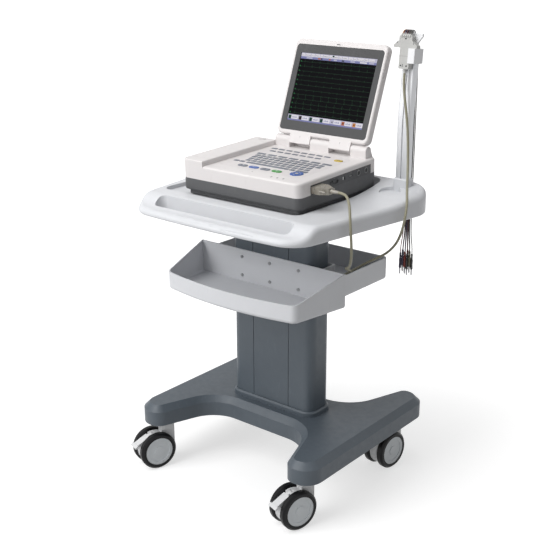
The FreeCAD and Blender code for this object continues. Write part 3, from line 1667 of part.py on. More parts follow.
print("coil least gap to itself %.2f" % least_gap(coil_path()))

for name, shape in nodes.items():
    shape.exportStep("parts/%s.step" % name)
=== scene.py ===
import bmesh
import bpy
import json
import math
from mathutils import Matrix, Vector


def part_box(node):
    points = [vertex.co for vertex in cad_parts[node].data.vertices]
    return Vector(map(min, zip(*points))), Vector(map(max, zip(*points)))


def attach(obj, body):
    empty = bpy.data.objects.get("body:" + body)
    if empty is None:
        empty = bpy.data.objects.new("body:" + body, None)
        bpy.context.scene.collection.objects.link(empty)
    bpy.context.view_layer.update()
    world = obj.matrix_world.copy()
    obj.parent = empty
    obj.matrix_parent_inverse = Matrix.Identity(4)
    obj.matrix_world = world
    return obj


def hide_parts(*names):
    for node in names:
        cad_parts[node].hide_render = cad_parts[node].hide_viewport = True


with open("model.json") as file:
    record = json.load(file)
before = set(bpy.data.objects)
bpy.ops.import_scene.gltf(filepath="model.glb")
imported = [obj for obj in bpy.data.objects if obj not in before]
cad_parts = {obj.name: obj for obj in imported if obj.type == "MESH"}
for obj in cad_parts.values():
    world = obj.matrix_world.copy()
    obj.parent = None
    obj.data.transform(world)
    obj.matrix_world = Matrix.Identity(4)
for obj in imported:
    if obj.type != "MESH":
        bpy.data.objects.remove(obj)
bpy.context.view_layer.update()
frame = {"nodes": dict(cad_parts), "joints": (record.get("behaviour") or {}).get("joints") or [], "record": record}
nodes = frame["nodes"]
joints = {joint["name"]: joint for joint in frame["joints"]}
column_low, column_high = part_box("column")
column_y = (column_low.y + column_high.y) / 2

MM = 0.001


# Places and frames

def spot(x, y, z):
    """A place in metres from millimetres, with y measured from the column's axis."""
    return Vector((x * MM, column_y + y * MM, z * MM))


def frame_at(origin, across, along, out):
    matrix = Matrix((across, along, out)).transposed().to_4x4()
    matrix.translation = origin
    return matrix


ACROSS = Vector((1, 0, 0))
LID_OFFSET = 31.0
DECK_HINGE = Vector((LID_OFFSET, 304.8, 17.4)) * MM
LID_TILT = math.radians(20.4)
CASE_HALF_W = 191.0
POLE_X = 253.0
POLE_SPOT = (POLE_X, 187.302, 992.923)
POLE_LEAN = math.radians(5.5)


def deck_frame():
    """Frame on the keyboard's deck: origin mid front edge, y up the slope, z out of the deck."""
    out = -Vector(joints["letter_keys_press"]["axis"])
    along = out.cross(ACROSS)
    hinge = Vector(joints["lid_tilt"]["pos_m"])
    origin = hinge - ACROSS * DECK_HINGE.x - along * DECK_HINGE.y - out * DECK_HINGE.z
    return frame_at(origin, ACROSS, along, out)


def lid_frame():
    """Frame on the lid: origin on the hinge axis, y up the display, z out of its face."""
    up = Vector((0, math.sin(LID_TILT), math.cos(LID_TILT)))
    return frame_at(Vector(joints["lid_tilt"]["pos_m"]), ACROSS, up, ACROSS.cross(up))


def side_frame():
    """Frame on the machine's right side: x to the rear, y up, z out."""
    corner = deck @ Vector((CASE_HALF_W * MM, 0, 0))
    axes = deck.to_3x3()
    return frame_at(corner, axes.col[1], axes.col[2], axes.col[0])


def pole_frame():
    """Frame on the pole: y up along it, z to the front."""
    rise, lean = math.cos(POLE_LEAN), math.sin(POLE_LEAN)
    return frame_at(spot(*POLE_SPOT), ACROSS, Vector((0, lean, rise)), Vector((0, -rise, lean)))


deck = deck_frame()
lid = lid_frame()
side = side_frame()
tip = pole_frame()


# Camera, light and floor

CAMERA_SPOT = (1600.97, -1991.37, 1417.46)
CAMERA_TURN = math.radians(38.85)
CAMERA_DOWN = math.radians(19.06)
CAMERA_LENS = 65.29
SENSOR = 36.0
CLIP_END = 100


def make_camera():
    back = Vector((math.sin(CAMERA_TURN) * math.cos(CAMERA_DOWN),
                   -math.cos(CAMERA_TURN) * math.cos(CAMERA_DOWN), math.sin(CAMERA_DOWN)))
    right = Vector((math.cos(CAMERA_TURN), math.sin(CAMERA_TURN), 0))
    camera = bpy.data.objects.new("camera", bpy.data.cameras.new("camera"))
    camera.matrix_world = frame_at(spot(*CAMERA_SPOT), right, back.cross(right), back)
    camera.data.lens = CAMERA_LENS
    camera.data.sensor_width = SENSOR
    camera.data.clip_end = CLIP_END
    bpy.context.collection.objects.link(camera)
    bpy.context.scene.camera = camera


def area_light(name, place, target, size, energy):
    data = bpy.data.lights.new(name, "AREA")
    data.size = size
    data.energy = energy
    lamp = bpy.data.objects.new(name, data)
    lamp.location = place
    lamp.rotation_mode = "QUATERNION"
    lamp.rotation_quaternion = (Vector(target) - Vector(place)).to_track_quat("-Z", "Y")
    bpy.context.collection.objects.link(lamp)


def seen_directly(tree):
    """1 for rays from the camera and for mirrored or refracted ones, 0 for light that falls on the object."""
    path = tree.nodes.new("ShaderNodeLightPath")
    total = path.outputs["Is Camera Ray"]
    for name in ("Is Glossy Ray", "Is Transmission Ray"):
        add = tree.nodes.new("ShaderNodeMath")
        add.operation = "MAXIMUM"
        tree.links.new(total, add.inputs[0])
        tree.links.new(path.outputs[name], add.inputs[1])
        total = add.outputs[0]
    return total


WORLD_LIGHT = 0.34
WORLD_SHOWN = 1.0
FLOOR_REACH = 40.0
FLOOR_SHADE = 0.58
GLOW_NEAR = 0.60
GLOW_FAR = 1.0
FADE_START = 0.35
FADE_END = 1.6


def make_world():
    world = bpy.data.worlds.new("studio")
    bpy.context.scene.world = world
    world.use_nodes = True
    tree = world.node_tree
    tree.nodes.clear()
    light = tree.nodes.new("ShaderNodeBackground")
    light.inputs["Strength"].default_value = WORLD_LIGHT
    light.inputs["Color"].default_value = (1, 1, 1, 1)
    shown = tree.nodes.new("ShaderNodeBackground")
    shown.inputs["Color"].default_value = (1, 1, 1, 1)
    shown.inputs["Strength"].default_value = WORLD_SHOWN
    mix = tree.nodes.new("ShaderNodeMixShader")
    output = tree.nodes.new("ShaderNodeOutputWorld")
    tree.links.new(seen_directly(tree), mix.inputs["Fac"])
    tree.links.new(light.outputs[0], mix.inputs[1])
    tree.links.new(shown.outputs[0], mix.inputs[2])
    tree.links.new(mix.outputs[0], output.inputs["Surface"])


def make_floor():
    """White floor that takes the object's shadow near it and goes to plain white further out."""
    mesh = bpy.data.meshes.new("floor")
    corners = [(x * FLOOR_REACH, y * FLOOR_REACH, 0) for x, y in ((-1, -1), (1, -1), (1, 1), (-1, 1))]
    mesh.from_pydata(corners, [], [(0, 1, 2, 3)])
    floor = bpy.data.objects.new("floor", mesh)
    bpy.context.collection.objects.link(floor)
    material = bpy.data.materials.new("floor")
    material.use_nodes = True
    tree = material.node_tree
    tree.nodes.clear()
    matte = tree.nodes.new("ShaderNodeBsdfDiffuse")
    matte.inputs["Color"].default_value = (FLOOR_SHADE, FLOOR_SHADE, FLOOR_SHADE, 1)
    place = tree.nodes.new("ShaderNodeTexCoord")
    distance = tree.nodes.new("ShaderNodeVectorMath")
    distance.operation = "LENGTH"
    tree.links.new(place.outputs["Object"], distance.inputs[0])
    fade = tree.nodes.new("ShaderNodeMapRange")
    fade.interpolation_type = "SMOOTHSTEP"
    fade.inputs["From Min"].default_value = FADE_START
    fade.inputs["From Max"].default_value = FADE_END
    fade.inputs["To Min"].default_value = GLOW_NEAR
    fade.inputs["To Max"].default_value = GLOW_FAR
    tree.links.new(distance.outputs["Value"], fade.inputs["Value"])
    share = tree.nodes.new("ShaderNodeMath")
    share.operation = "MULTIPLY"
    tree.links.new(seen_directly(tree), share.inputs[0])
    tree.links.new(fade.outputs["Result"], share.inputs[1])
    glow = tree.nodes.new("ShaderNodeEmission")
    tree.links.new(share.outputs[0], glow.inputs["Strength"])
    both = tree.nodes.new("ShaderNodeAddShader")
    output = tree.nodes.new("ShaderNodeOutputMaterial")
    tree.links.new(matte.outputs[0], both.inputs[0])
    tree.links.new(glow.outputs[0], both.inputs[1])
    tree.links.new(both.outputs[0], output.inputs["Surface"])
    mesh.materials.append(material)


# Each lamp's name, place, target and width in metres, and power in watts
LAMPS = (("key", (-1.22, -2.61, 3.38), (0, 0, 0.6), 2.6, 82),
         ("front", (-1.3, -3.6, 1.7), (0, 0, 0.55), 2.2, 40),
         ("top", (-0.2, -0.3, 3.8), (0, 0, 0.7), 2.4, 32))

make_camera()
make_world()
make_floor()
for lamp in LAMPS:
    area_light(*lamp)
bpy.context.scene.view_settings.view_transform = "Standard"


# Materials

CLOUD_SCALE = 14.0
SCUFF_SCALE = 90.0
SCUFF_STRETCH = (1.0, 1.0, 0.35)
SCUFF_START = 0.60
SCUFF_END = 0.74
SHEEN_SCALE = 60.0
SHEEN_SPREAD = 0.06
PALE_LEVEL = 0.4
PIXEL_SCALE = 700.0
PIXEL_LOW = 0.86

materials = {}


def new_material(name):
    material = bpy.data.materials.new(name)
    material.use_nodes = True
    materials[name] = material
    return material.node_tree, material.node_tree.nodes["Principled BSDF"]


def noise(tree, scale, detail=3.0, stretch=(1, 1, 1)):
    place = tree.nodes.new("ShaderNodeTexCoord")
    mapping = tree.nodes.new("ShaderNodeMapping")
    mapping.inputs["Scale"].default_value = stretch
    texture = tree.nodes.new("ShaderNodeTexNoise")
    texture.inputs["Scale"].default_value = scale
    texture.inputs["Detail"].default_value = detail
    tree.links.new(place.outputs["Object"], mapping.inputs["Vector"])
    tree.links.new(mapping.outputs["Vector"], texture.inputs["Vector"])
    return texture.outputs["Fac"]


def ramp(tree, source, low, high, start=0.3, end=0.7):
    """Maps a noise value onto two colours or two grey levels."""
    node = tree.nodes.new("ShaderNodeValToRGB")
    node.color_ramp.elements[0].position = start
    node.color_ramp.elements[1].position = end
    node.color_ramp.elements[0].color = (*low, 1)
    node.color_ramp.elements[1].color = (*high, 1)
    tree.links.new(source, node.inputs["Fac"])
    return node.outputs["Color"]


def blend(tree, first, colour, share):
    """Lays a plain colour over another by a share that changes over the surface."""
    mix = tree.nodes.new("ShaderNodeMix")
    mix.data_type = "RGBA"
    tree.links.new(share, mix.inputs["Factor"])
    tree.links.new(first, mix.inputs["A"])
    mix.inputs["B"].default_value = (*colour, 1)
    return mix.outputs["Result"]


def add_bump(tree, shader, source, depth):
    bump = tree.nodes.new("ShaderNodeBump")
    bump.inputs["Distance"].default_value = depth
    tree.links.new(source, bump.inputs["Height"])
    tree.links.new(bump.outputs["Normal"], shader.inputs["Normal"])


def plastic(name, colour, rough=0.42, vary=0.04, grain=900.0, depth=0.00004, metallic=0.0, gloss=0.5,
            stretch=(1, 1, 1), wear=0.12, coat=0.0):
    """Moulded plastic, paint or metal: cloudy tint, thin scuffs, uneven gloss and a fine grain."""
    tree, shader = new_material(name)
    low = tuple(channel * (1 - vary) for channel in colour)
    high = tuple(min(channel * (1 + vary), 1) for channel in colour)
    tint = ramp(tree, noise(tree, CLOUD_SCALE, 4.0, stretch), low, high)
    pale = sum(colour) / 3 > PALE_LEVEL
    worn = tuple(channel * (1 - wear) if pale else channel * (1 + wear) + 0.01 * wear for channel in colour)
    scuffed = ramp(tree, noise(tree, SCUFF_SCALE, 8.0, SCUFF_STRETCH), (0, 0, 0), (1, 1, 1), SCUFF_START, SCUFF_END)
    tree.links.new(blend(tree, tint, worn, scuffed), shader.inputs["Base Color"])
    sheen = ramp(tree, noise(tree, SHEEN_SCALE, 5.0, stretch), (rough - SHEEN_SPREAD,) * 3,
                 (rough + SHEEN_SPREAD,) * 3)
    tree.links.new(sheen, shader.inputs["Roughness"])
    shader.inputs["Metallic"].default_value = metallic
    shader.inputs["Specular IOR Level"].default_value = gloss
    shader.inputs["Coat Weight"].default_value = coat
    add_bump(tree, shader, noise(tree, grain, 2.0, stretch), depth)
    return shader


def lit(name, colour, strength):
    """Part of the display's picture: a dark surface that shines with a fine mottle."""
    tree, shader = new_material(name)
    shader.inputs["Base Color"].default_value = (0.01, 0.01, 0.012, 1)
    shader.inputs["Roughness"].default_value = 0.4
    shader.inputs["Specular IOR Level"].default_value = 0.02
    low = tuple(channel * PIXEL_LOW for channel in colour)
    tree.links.new(ramp(tree, noise(tree, PIXEL_SCALE, 1.0), low, colour), shader.inputs["Emission Color"])
    shader.inputs["Emission Strength"].default_value = strength


def clear_plastic(name, colour):
    """Smoky moulded plastic that lets some light through."""
    shader = plastic(name, colour, rough=0.3, vary=0.08, grain=500.0, depth=0.00003, coat=0.25)
    shader.inputs["Transmission Weight"].default_value = 0.22
    shader.inputs["Subsurface Weight"].default_value = 0.15
    shader.inputs["Subsurface Radius"].default_value = (0.004, 0.003, 0.002)


SLATE = (0.075, 0.093, 0.112)
PALE_GREY = (0.665, 0.675, 0.70)
WARM_WHITE = (0.735, 0.705, 0.70)

plastic("base_paint", SLATE, rough=0.46, grain=1400.0, depth=0.00006)
plastic("plate_steel", (0.03, 0.032, 0.035), rough=0.5)
plastic("column_paint", SLATE, rough=0.44, grain=1400.0, depth=0.00005)
plastic("steel", (0.42, 0.42, 0.43), rough=0.34, vary=0.06, grain=500.0, depth=0.00002, metallic=1.0)
plastic("tray_plastic", PALE_GREY, vary=0.012, grain=1000.0, depth=0.00003, wear=0.03)
plastic("pole_metal", (0.66, 0.67, 0.69), rough=0.4, vary=0.03, grain=300.0, depth=0.00003, metallic=0.35,
        stretch=(4, 4, 0.05), wear=0.06)
plastic("holder_plastic", (0.86, 0.865, 0.88), vary=0.015, wear=0.04)
plastic("box_plastic", (0.49, 0.49, 0.475), rough=0.48, vary=0.03, grain=1300.0, depth=0.00005, wear=0.06)
plastic("case_dark", (0.080, 0.082, 0.086), rough=0.52, vary=0.05, grain=1500.0, depth=0.00008)
plastic("case_light", WARM_WHITE, rough=0.46, vary=0.015, grain=1500.0, depth=0.00005, wear=0.04)
plastic("rubber_dark", (0.03, 0.03, 0.032), rough=0.7, vary=0.1)
plastic("port_plastic", (0.056, 0.058, 0.061), rough=0.52, vary=0.05, grain=1500.0, depth=0.00008)
plastic("board_green", (0.03, 0.12, 0.06), rough=0.4)
plastic("battery_wrap", (0.05, 0.07, 0.16), rough=0.35)
plastic("overlay", (0.70, 0.665, 0.665), rough=0.46, vary=0.02, grain=1500.0, depth=0.00005, wear=0.04)
plastic("key_grey", (0.155, 0.172, 0.205), rough=0.46, vary=0.06, grain=1800.0)
plastic("key_blue", (0.032, 0.10, 0.35), rough=0.4, vary=0.05)
plastic("key_green", (0.03, 0.25, 0.036), rough=0.4, vary=0.05)
plastic("key_yellow", (0.50, 0.36, 0.035), rough=0.4, vary=0.05)
plastic("bezel", (0.099, 0.100, 0.102), rough=0.6, grain=1500.0, depth=0.00005, gloss=0.06)
plastic("display", (0.004, 0.004, 0.005), rough=0.5, vary=0.02, grain=400.0, depth=0.00001, gloss=0.02)
plastic("paper", (0.82, 0.80, 0.77), rough=0.8, vary=0.03, grain=2000.0)
plastic("print_head", (0.35, 0.35, 0.37), rough=0.3, vary=0.05, depth=0.00002, metallic=1.0)
clear_plastic("hood_clear", (0.38, 0.35, 0.295))
plastic("cable_jacket", (0.27, 0.255, 0.18), rough=0.5, vary=0.05, grain=1400.0, depth=0.00005)
plastic("lead_jacket", (0.03, 0.03, 0.032), rough=0.5, vary=0.06)
plastic("lead_red", (0.22, 0.03, 0.02), rough=0.5, vary=0.06)
plastic("lead_orange", (0.38, 0.16, 0.03), rough=0.5, vary=0.06)
plastic("lead_navy", (0.026, 0.022, 0.062), rough=0.5, vary=0.06)
plastic("lead_grey", (0.07, 0.07, 0.062), rough=0.5, vary=0.06)
plastic("lead_brown", (0.085, 0.026, 0.026), rough=0.5, vary=0.06)
plastic("lead_plug", (0.03, 0.022, 0.055), rough=0.46, vary=0.06)
plastic("plug_red", (0.22, 0.03, 0.02), rough=0.46, vary=0.06)
plastic("plug_dark", (0.02, 0.02, 0.022), rough=0.46, vary=0.06)
plastic("plug_olive", (0.07, 0.06, 0.03), rough=0.46, vary=0.06)
plastic("pin_metal", (0.24, 0.24, 0.25), rough=0.32, grain=400.0, depth=0.00001, metallic=1.0)
plastic("caster_plastic", (0.72, 0.725, 0.735), vary=0.02, wear=0.05)
plastic("hub_plastic", (0.66, 0.69, 0.71), rough=0.46, wear=0.08)
plastic("tyre", (0.005, 0.005, 0.006), rough=0.38, vary=0.12, depth=0.0001, gloss=0.2)
plastic("latch_plastic", (0.60, 0.575, 0.57), rough=0.46, vary=0.02, wear=0.04)
# Dark print, also laid as painted shade for the lid's latch slot
plastic("ink_and_painted_shade", (0.022, 0.025, 0.032), rough=0.5, vary=0.1)
plastic("key_ink", (0.035, 0.04, 0.05), rough=0.5, vary=0.1)
plastic("shadow_gap", (0.012, 0.012, 0.013), rough=0.7, vary=0.1)
plastic("print_white", (0.62, 0.62, 0.62), rough=0.5, vary=0.03)
plastic("mark_grey", (0.28, 0.27, 0.27), rough=0.5, vary=0.05)
plastic("mark_dark", (0.10, 0.095, 0.095), rough=0.5, vary=0.05)
plastic("ring_grey", (0.30, 0.30, 0.305), rough=0.45, vary=0.05)
plastic("mark_yellow", (0.68, 0.5, 0.06), rough=0.45, vary=0.05)
plastic("tie_fabric", (0.02, 0.02, 0.022), rough=0.85, vary=0.15, grain=2600.0, depth=0.00012)
lit("lit_white", (0.86, 0.84, 0.90), 0.85)
lit("lit_lilac", (0.26, 0.27, 0.52), 0.8)
lit("lit_pale", (0.62, 0.61, 0.76), 0.8)
lit("lit_dark", (0.03, 0.03, 0.05), 0.6)
lit("lit_trace", (0.014, 0.048, 0.02), 0.8)
lit("lit_start", (0.022, 0.14, 0.045), 0.8)
lit("lit_green", (0.01, 0.07, 0.035), 0.8)
lit("lit_brown", (0.035, 0.02, 0.012), 0.8)
lit("lit_red", (0.55, 0.16, 0.07), 0.8)
lit("lit_orange", (0.72, 0.28, 0.06), 0.8)

for row in frame["record"]["subparts"]:
    mesh = nodes[row["node"]].data
    mesh.materials.clear()
    mesh.materials.append(materials[row["material_slot"]])


# Builders

def mesh_from(name, shape):
    mesh = bpy.data.meshes.new(name)
    shape.to_mesh(mesh)
    shape.free()
    return mesh


def bridge(shape, low, high):
    """Faces between two rings with the same number of points."""
    faces = []
    for i in range(len(low)):
        j = (i + 1) % len(low)
        faces.append(shape.faces.new((low[i], low[j], high[j], high[i])))
    return faces


def finish_mesh(name, mesh, matrix, slots, body):
    mesh.transform(matrix @ Matrix.Scale(MM, 4))
    for slot in slots:
        mesh.materials.append(materials[slot])
    piece = bpy.data.objects.new(name, mesh)
    bpy.context.collection.objects.link(piece)
    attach(piece, body)
    return piece


def picture(name, matrix, faces, body):
    """Flat printed or shining areas: each face is its outline in millimetres and its material."""
    points = []
    polygons = []
    slots = []
    indices = []
    for outline, slot in faces:
        if slot not in slots:
            slots.append(slot)
        polygons.append(list(range(len(points), len(points) + len(outline))))
        points += outline
        indices.append(slots.index(slot))
    mesh = bpy.data.meshes.new(name)
    mesh.from_pydata(points, [], polygons)
    for polygon, index in zip(mesh.polygons, indices):
        polygon.material_index = index
    return finish_mesh(name, mesh, matrix, slots, body)


def patch(x0, y0, x1, y1, z):
    return [(x0, y0, z), (x1, y0, z), (x1, y1, z), (x0, y1, z)]


def disc(x, y, radius, z, count=20):
    turns = [2 * math.pi * i / count for i in range(count)]
    return [(x + radius * math.cos(a), y + radius * math.sin(a), z) for a in turns]


def lathe(name, rings, matrix, slots, body, count=24, split=None):
    """A turned piece from (radius, height) rings along z; faces past ring number split take the second material."""
    shape = bmesh.new()
    loops = [[shape.verts.new(point) for point in disc(0, 0, radius, height, count)] for radius, height in rings]
    for level in range(len(rings) - 1):
        for face in bridge(shape, loops[level], loops[level + 1]):
            face.smooth = True
            face.material_index = 1 if split is not None and level >= split else 0
    shape.faces.new(loops[0][::-1])
    top = shape.faces.new(loops[-1])
    top.material_index = 1 if split is not None else 0
    bmesh.ops.recalc_face_normals(shape, faces=shape.faces)
    mesh = mesh_from(name, shape)
    mesh.set_sharp_from_angle(angle=math.radians(40))
    return finish_mesh(name, mesh, matrix, slots, body)


def upright(x, y, z):
    matrix = Matrix.Identity(4)
    matrix.translation = spot(x, y, z)
    return matrix


# Patient cable along the points of its solids, and leads close to theirs

CABLE_D = 6.5 * MM
LEAD_D = 2.6 * MM

LOWER_ROUTE = [
    (243.0, -84.5, 828.35), (259.0, -84.5, 828.35), (277.0, -94.0, 822.0), (292.0, -108.0, 805.0),
    (302.0, -119.0, 779.0), (307.0, -122.5, 749.0), (306.5, -118.0, 717.0), (299.0, -106.0, 687.0),
    (284.0, -87.0, 661.0), (263.0, -64.0, 640.0), (240.0, -41.0, 629.0), (222.0, -17.0, 617.0),
    (211.5, 11.0, 604.0), (209.4, 41.0, 583.0), (209.4, 70.0, 561.0), (209.4, 97.0, 544.6),
    (209.4, 122.0, 544.6)]
UPPER_ROUTE = [
    (253.0, 171.10, 1082.39), (253.0, 168.80, 1058.50), (258.5, 166.2, 1027.0), (265.5, 165.5, 991.0),
    (272.0, 165.0, 948.0), (277.5, 162.0, 901.0), (286.0, 151.0, 853.0), (309.0, 114.0, 806.0),
    (334.0, 77.0, 776.0), (336.0, 60.0, 728.0), (317.0, 70.0, 688.0), (287.0, 92.0, 657.0),
    (252.0, 115.0, 629.0), (223.0, 118.0, 611.0), (204.0, 99.0, 599.0), (198.0, 66.0, 592.0),
    (197.5, 32.0, 590.0), (197.0, -1.6, 587.0), (183.4, -15.2, 582.5), (164.1, -15.2, 576.0),
    (150.5, -1.6, 568.0), (150.5, 17.0, 558.5), (150.5, 36.0, 552.0), (150.5, 55.0, 552.0)]

COIL_X = 178.0
COIL_FRONT = 9.0
COIL_REAR = 129.0
COIL_UPPER_Z = 552.0
COIL_LOWER_Z = 544.6
COIL_LEFT = (27.5, 19.7, 19.7, 27.5)
COIL_RIGHT = (23.6, 15.8, 23.6, 31.4)
TURN_POINTS = 6
RUN_POINTS = 4


def coil_points():
    """Points of the long loops in the bin, from the upper layer's start to the lower layer's end."""
    points = []

    def run(x, y0, y1, z0, z1):
        for i in range(RUN_POINTS):
            share = (i + 0.5) / RUN_POINTS
            climb = share * share * (3 - 2 * share)
            points.append((x, y0 + (y1 - y0) * share, z0 + (z1 - z0) * climb))

    def turn(x0, x1, y, z, way):
        radius = abs(x1 - x0) / 2
        reach = radius / math.cos(math.pi / 2 / TURN_POINTS)
        for i in range(TURN_POINTS):
            angle = math.pi * (i + 0.5) / TURN_POINTS
            x = (x0 + x1) / 2 + (x0 - x1) / 2 / radius * reach * math.cos(angle)
            points.append((x, y + way * reach * math.sin(angle), z))

    left = [COIL_X - spread for spread in COIL_LEFT]
    right = [COIL_X + spread for spread in COIL_RIGHT]
    run(left[0], UPPER_ROUTE[-1][1], COIL_REAR, COIL_UPPER_Z, COIL_UPPER_Z)
    for lap in range(4):
        z = COIL_UPPER_Z if lap < 2 else COIL_LOWER_Z
        turn(left[lap], right[lap], COIL_REAR, z, 1)
        if lap < 3:
            low = COIL_LOWER_Z if lap else z
            run(right[lap], COIL_REAR, COIL_FRONT, z, low)
            turn(right[lap], left[lap + 1], COIL_FRONT, low, -1)
            run(left[lap + 1], COIL_FRONT, COIL_REAR, low, low)
    return points


def make_cord(name, points, diameter, material):
    curve = bpy.data.curves.new(name, "CURVE")
    curve.dimensions = "3D"
    curve.bevel_depth = diameter / 2
    curve.bevel_resolution = 5
    curve.use_fill_caps = True
    curve.resolution_u = 8
    spline = curve.splines.new("NURBS")
    spline.points.add(len(points) - 1)
    for point, place in zip(spline.points, points):
        point.co = (*spot(*place), 1)
    spline.order_u = 3
    spline.use_endpoint_u = True
    curve.materials.append(material)
    cord = bpy.data.objects.new(name, curve)
    bpy.context.collection.objects.link(cord)
    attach(cord, "root")
    return cord


TIE_LEFT = 146.9
TIE_RIGHT = 161.9
TIE_LOW = 541.1
TIE_HIGH = 555.4
TIE_Y = 84.0
TIE_HALF_W = 6
TIE_WALL = 0.2
TIE_CORNER = 2.6
CORNER_STEPS = 4


def make_tie():
    """Fabric strap round the left runs of the coil in the bin."""
    shape = bmesh.new()
    corners = ((TIE_RIGHT - TIE_CORNER, TIE_LOW + TIE_CORNER), (TIE_RIGHT - TIE_CORNER, TIE_HIGH - TIE_CORNER),
               (TIE_LEFT + TIE_CORNER, TIE_HIGH - TIE_CORNER), (TIE_LEFT + TIE_CORNER, TIE_LOW + TIE_CORNER))

    def loop(radius, y):
        ring = []
        for quarter, (x, z) in enumerate(corners):
            for step in range(CORNER_STEPS + 1):
                angle = math.pi / 2 * (quarter - 1 + step / CORNER_STEPS)
                ring.append(shape.verts.new((x + radius * math.cos(angle), y, z + radius * math.sin(angle))))
        return ring

    inner = [loop(TIE_CORNER - TIE_WALL, y) for y in (-TIE_HALF_W, TIE_HALF_W)]
    outer = [loop(TIE_CORNER, y) for y in (-TIE_HALF_W, TIE_HALF_W)]
    for first, second in ((outer[0], outer[1]), (inner[1], inner[0]), (inner[0], outer[0]), (outer[1], inner[1])):
        bridge(shape, first, second)
    bmesh.ops.recalc_face_normals(shape, faces=shape.faces)
    return finish_mesh("coil_tie", mesh_from("coil_tie", shape), upright(0, TIE_Y, 0), ["tie_fabric"], "root")


def make_trunk():
    points = LOWER_ROUTE + coil_points()[::-1] + UPPER_ROUTE[::-1]
    trunk = make_cord("trunk_cable", points, CABLE_D, materials["cable_jacket"])
    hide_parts("trunk_cable_lower", "trunk_coil", "trunk_cable_upper")
    make_tie()


# The arch over the pole: (y, z) of the inner row, what the outer row adds, the share of the way in x
# from the box to the bundle, and half the distance in x between the rows
LEAD_ROUTE = [(181.5, 1176.2), (182.9, 1179.2), (186.0, 1181.6), (192.0, 1182.4), (200.5, 1182.2),
              (211.0, 1178.8), (222.5, 1171.0), (233.5, 1158.0), (242.5, 1141.0), (249.0, 1120.0),
              (252.6, 1094.0)]
OUTER_ROW = [(-7.5, 0.5), (-7.5, 0.2), (-7.4, 0.6), (-7.0, 1.2), (-3.0, 2.0), (0.5, 2.6),
             (1.8, 2.3), (2.9, 2.0), (3.7, 1.2), (4.3, 0.6), (4.6, 0.2)]
LEAD_SHIFT = (0.0, 0.0, 0.05, 0.15, 0.30, 0.48, 0.66, 0.82, 0.93, 0.99, 1.0)
ROW_SPREAD = (0.0, 0.4, 1.0, 1.4, 1.4, 1.4, 1.2, 1.0, 0.95, 0.95, 0.95)
LEAD_COLUMNS = 5
BOOT_PITCH = 5.6

# The bundle behind the worktop, its waist, and the plugs
BUNDLE_X = 222.0
BUNDLE_PITCH = 3.8
BUNDLE_FOOT = 800.0
WAIST_X = 219.6
WAIST_PITCH = 4.2
WAIST_SPREAD = 1.3
WAIST_ROW_GAP = 1.0
WAIST_Z = 646.0
PLUG_X = 213.4
PLUG_PITCH = 7.1
PLUG_SPREAD = 1.9
PLUG_RISE = 614.0
PLUG_ROW_GAP = 2.2
PLUG_LENGTH = 44.0
PIN_LENGTH = 17.0
LEAD_END_Z = 592.0
LEAD_STAGGER = 5.0
PLUG_ENTRY = 6.0
LEAD_COLOURS = ("lead_red", "lead_navy", "lead_navy", "lead_brown", "lead_jacket",
                "lead_orange", "lead_navy", "lead_brown", "lead_jacket", "lead_grey")
PLUG_COLOURS = ("lead_plug", "lead_plug", "plug_red", "plug_dark", "plug_olive",
                "lead_plug", "plug_dark", "plug_red", "plug_olive", "plug_dark")


def lead_points(i, row):
    """Points of one lead, from the junction box over the pole and down into its plug."""
    start_x = POLE_X + (i - (LEAD_COLUMNS - 1) / 2) * BOOT_PITCH
    end_x = BUNDLE_X + i * BUNDLE_PITCH
    way = 2 * row - 1
    points = []
    for (y, z), (off_y, off_z), shift, spread in zip(LEAD_ROUTE, OUTER_ROW, LEAD_SHIFT, ROW_SPREAD):
        points.append((start_x + (end_x - start_x) * shift + way * spread, y + row * off_y, z + row * off_z))
    x, y, z = points[-1]
    points.append((x, y, z - (points[-2][2] - z)))
    points.append((x, y, BUNDLE_FOOT))
    points.append((WAIST_X + i * WAIST_PITCH + way * WAIST_SPREAD, y + row * WAIST_ROW_GAP, WAIST_Z))
    hang_x = PLUG_X + i * PLUG_PITCH + way * PLUG_SPREAD
    hang_y = y + row * PLUG_ROW_GAP
    points.append((hang_x, hang_y, PLUG_RISE))
    points.append((hang_x, hang_y, LEAD_END_Z + LEAD_STAGGER * ((2 * i + row) % 3) - PLUG_ENTRY))
    return points


def plug_rings():
    """Outline of a lead's plug from the wire down: ribbed neck, waisted grip, shoulder."""
    rings = [(1.4, 0.0), (2.3, -0.4)]
    for rib in range(5):
        top = -1.6 - 2.6 * rib
        rings += [(2.3, top), (2.8, top - 0.4), (2.8, top - 1.3), (2.3, top - 1.7)]
    rings += [(2.5, -15.2), (3.3, -17.0), (3.5, -19.5), (3.2, -25.0), (3.1, -29.0), (3.3, -34.0),
              (3.5, -38.0), (3.5, -42.0), (3.1, -PLUG_LENGTH + 0.3), (2.6, -PLUG_LENGTH)]
    return rings


def pin_rings():
    """Outline of a plug's pin: collar, split barrel, rounded tip."""
    tip_z = -PLUG_LENGTH - PIN_LENGTH
    return [(1.9, -PLUG_LENGTH + 0.4), (2.0, -PLUG_LENGTH - 1.0), (2.0, -PLUG_LENGTH - 2.2),
            (1.7, -PLUG_LENGTH - 2.6), (1.95, -PLUG_LENGTH - 4.0), (2.0, -PLUG_LENGTH - 9.0),
            (1.9, tip_z + 3.0), (1.5, tip_z + 1.0), (0.7, tip_z)]


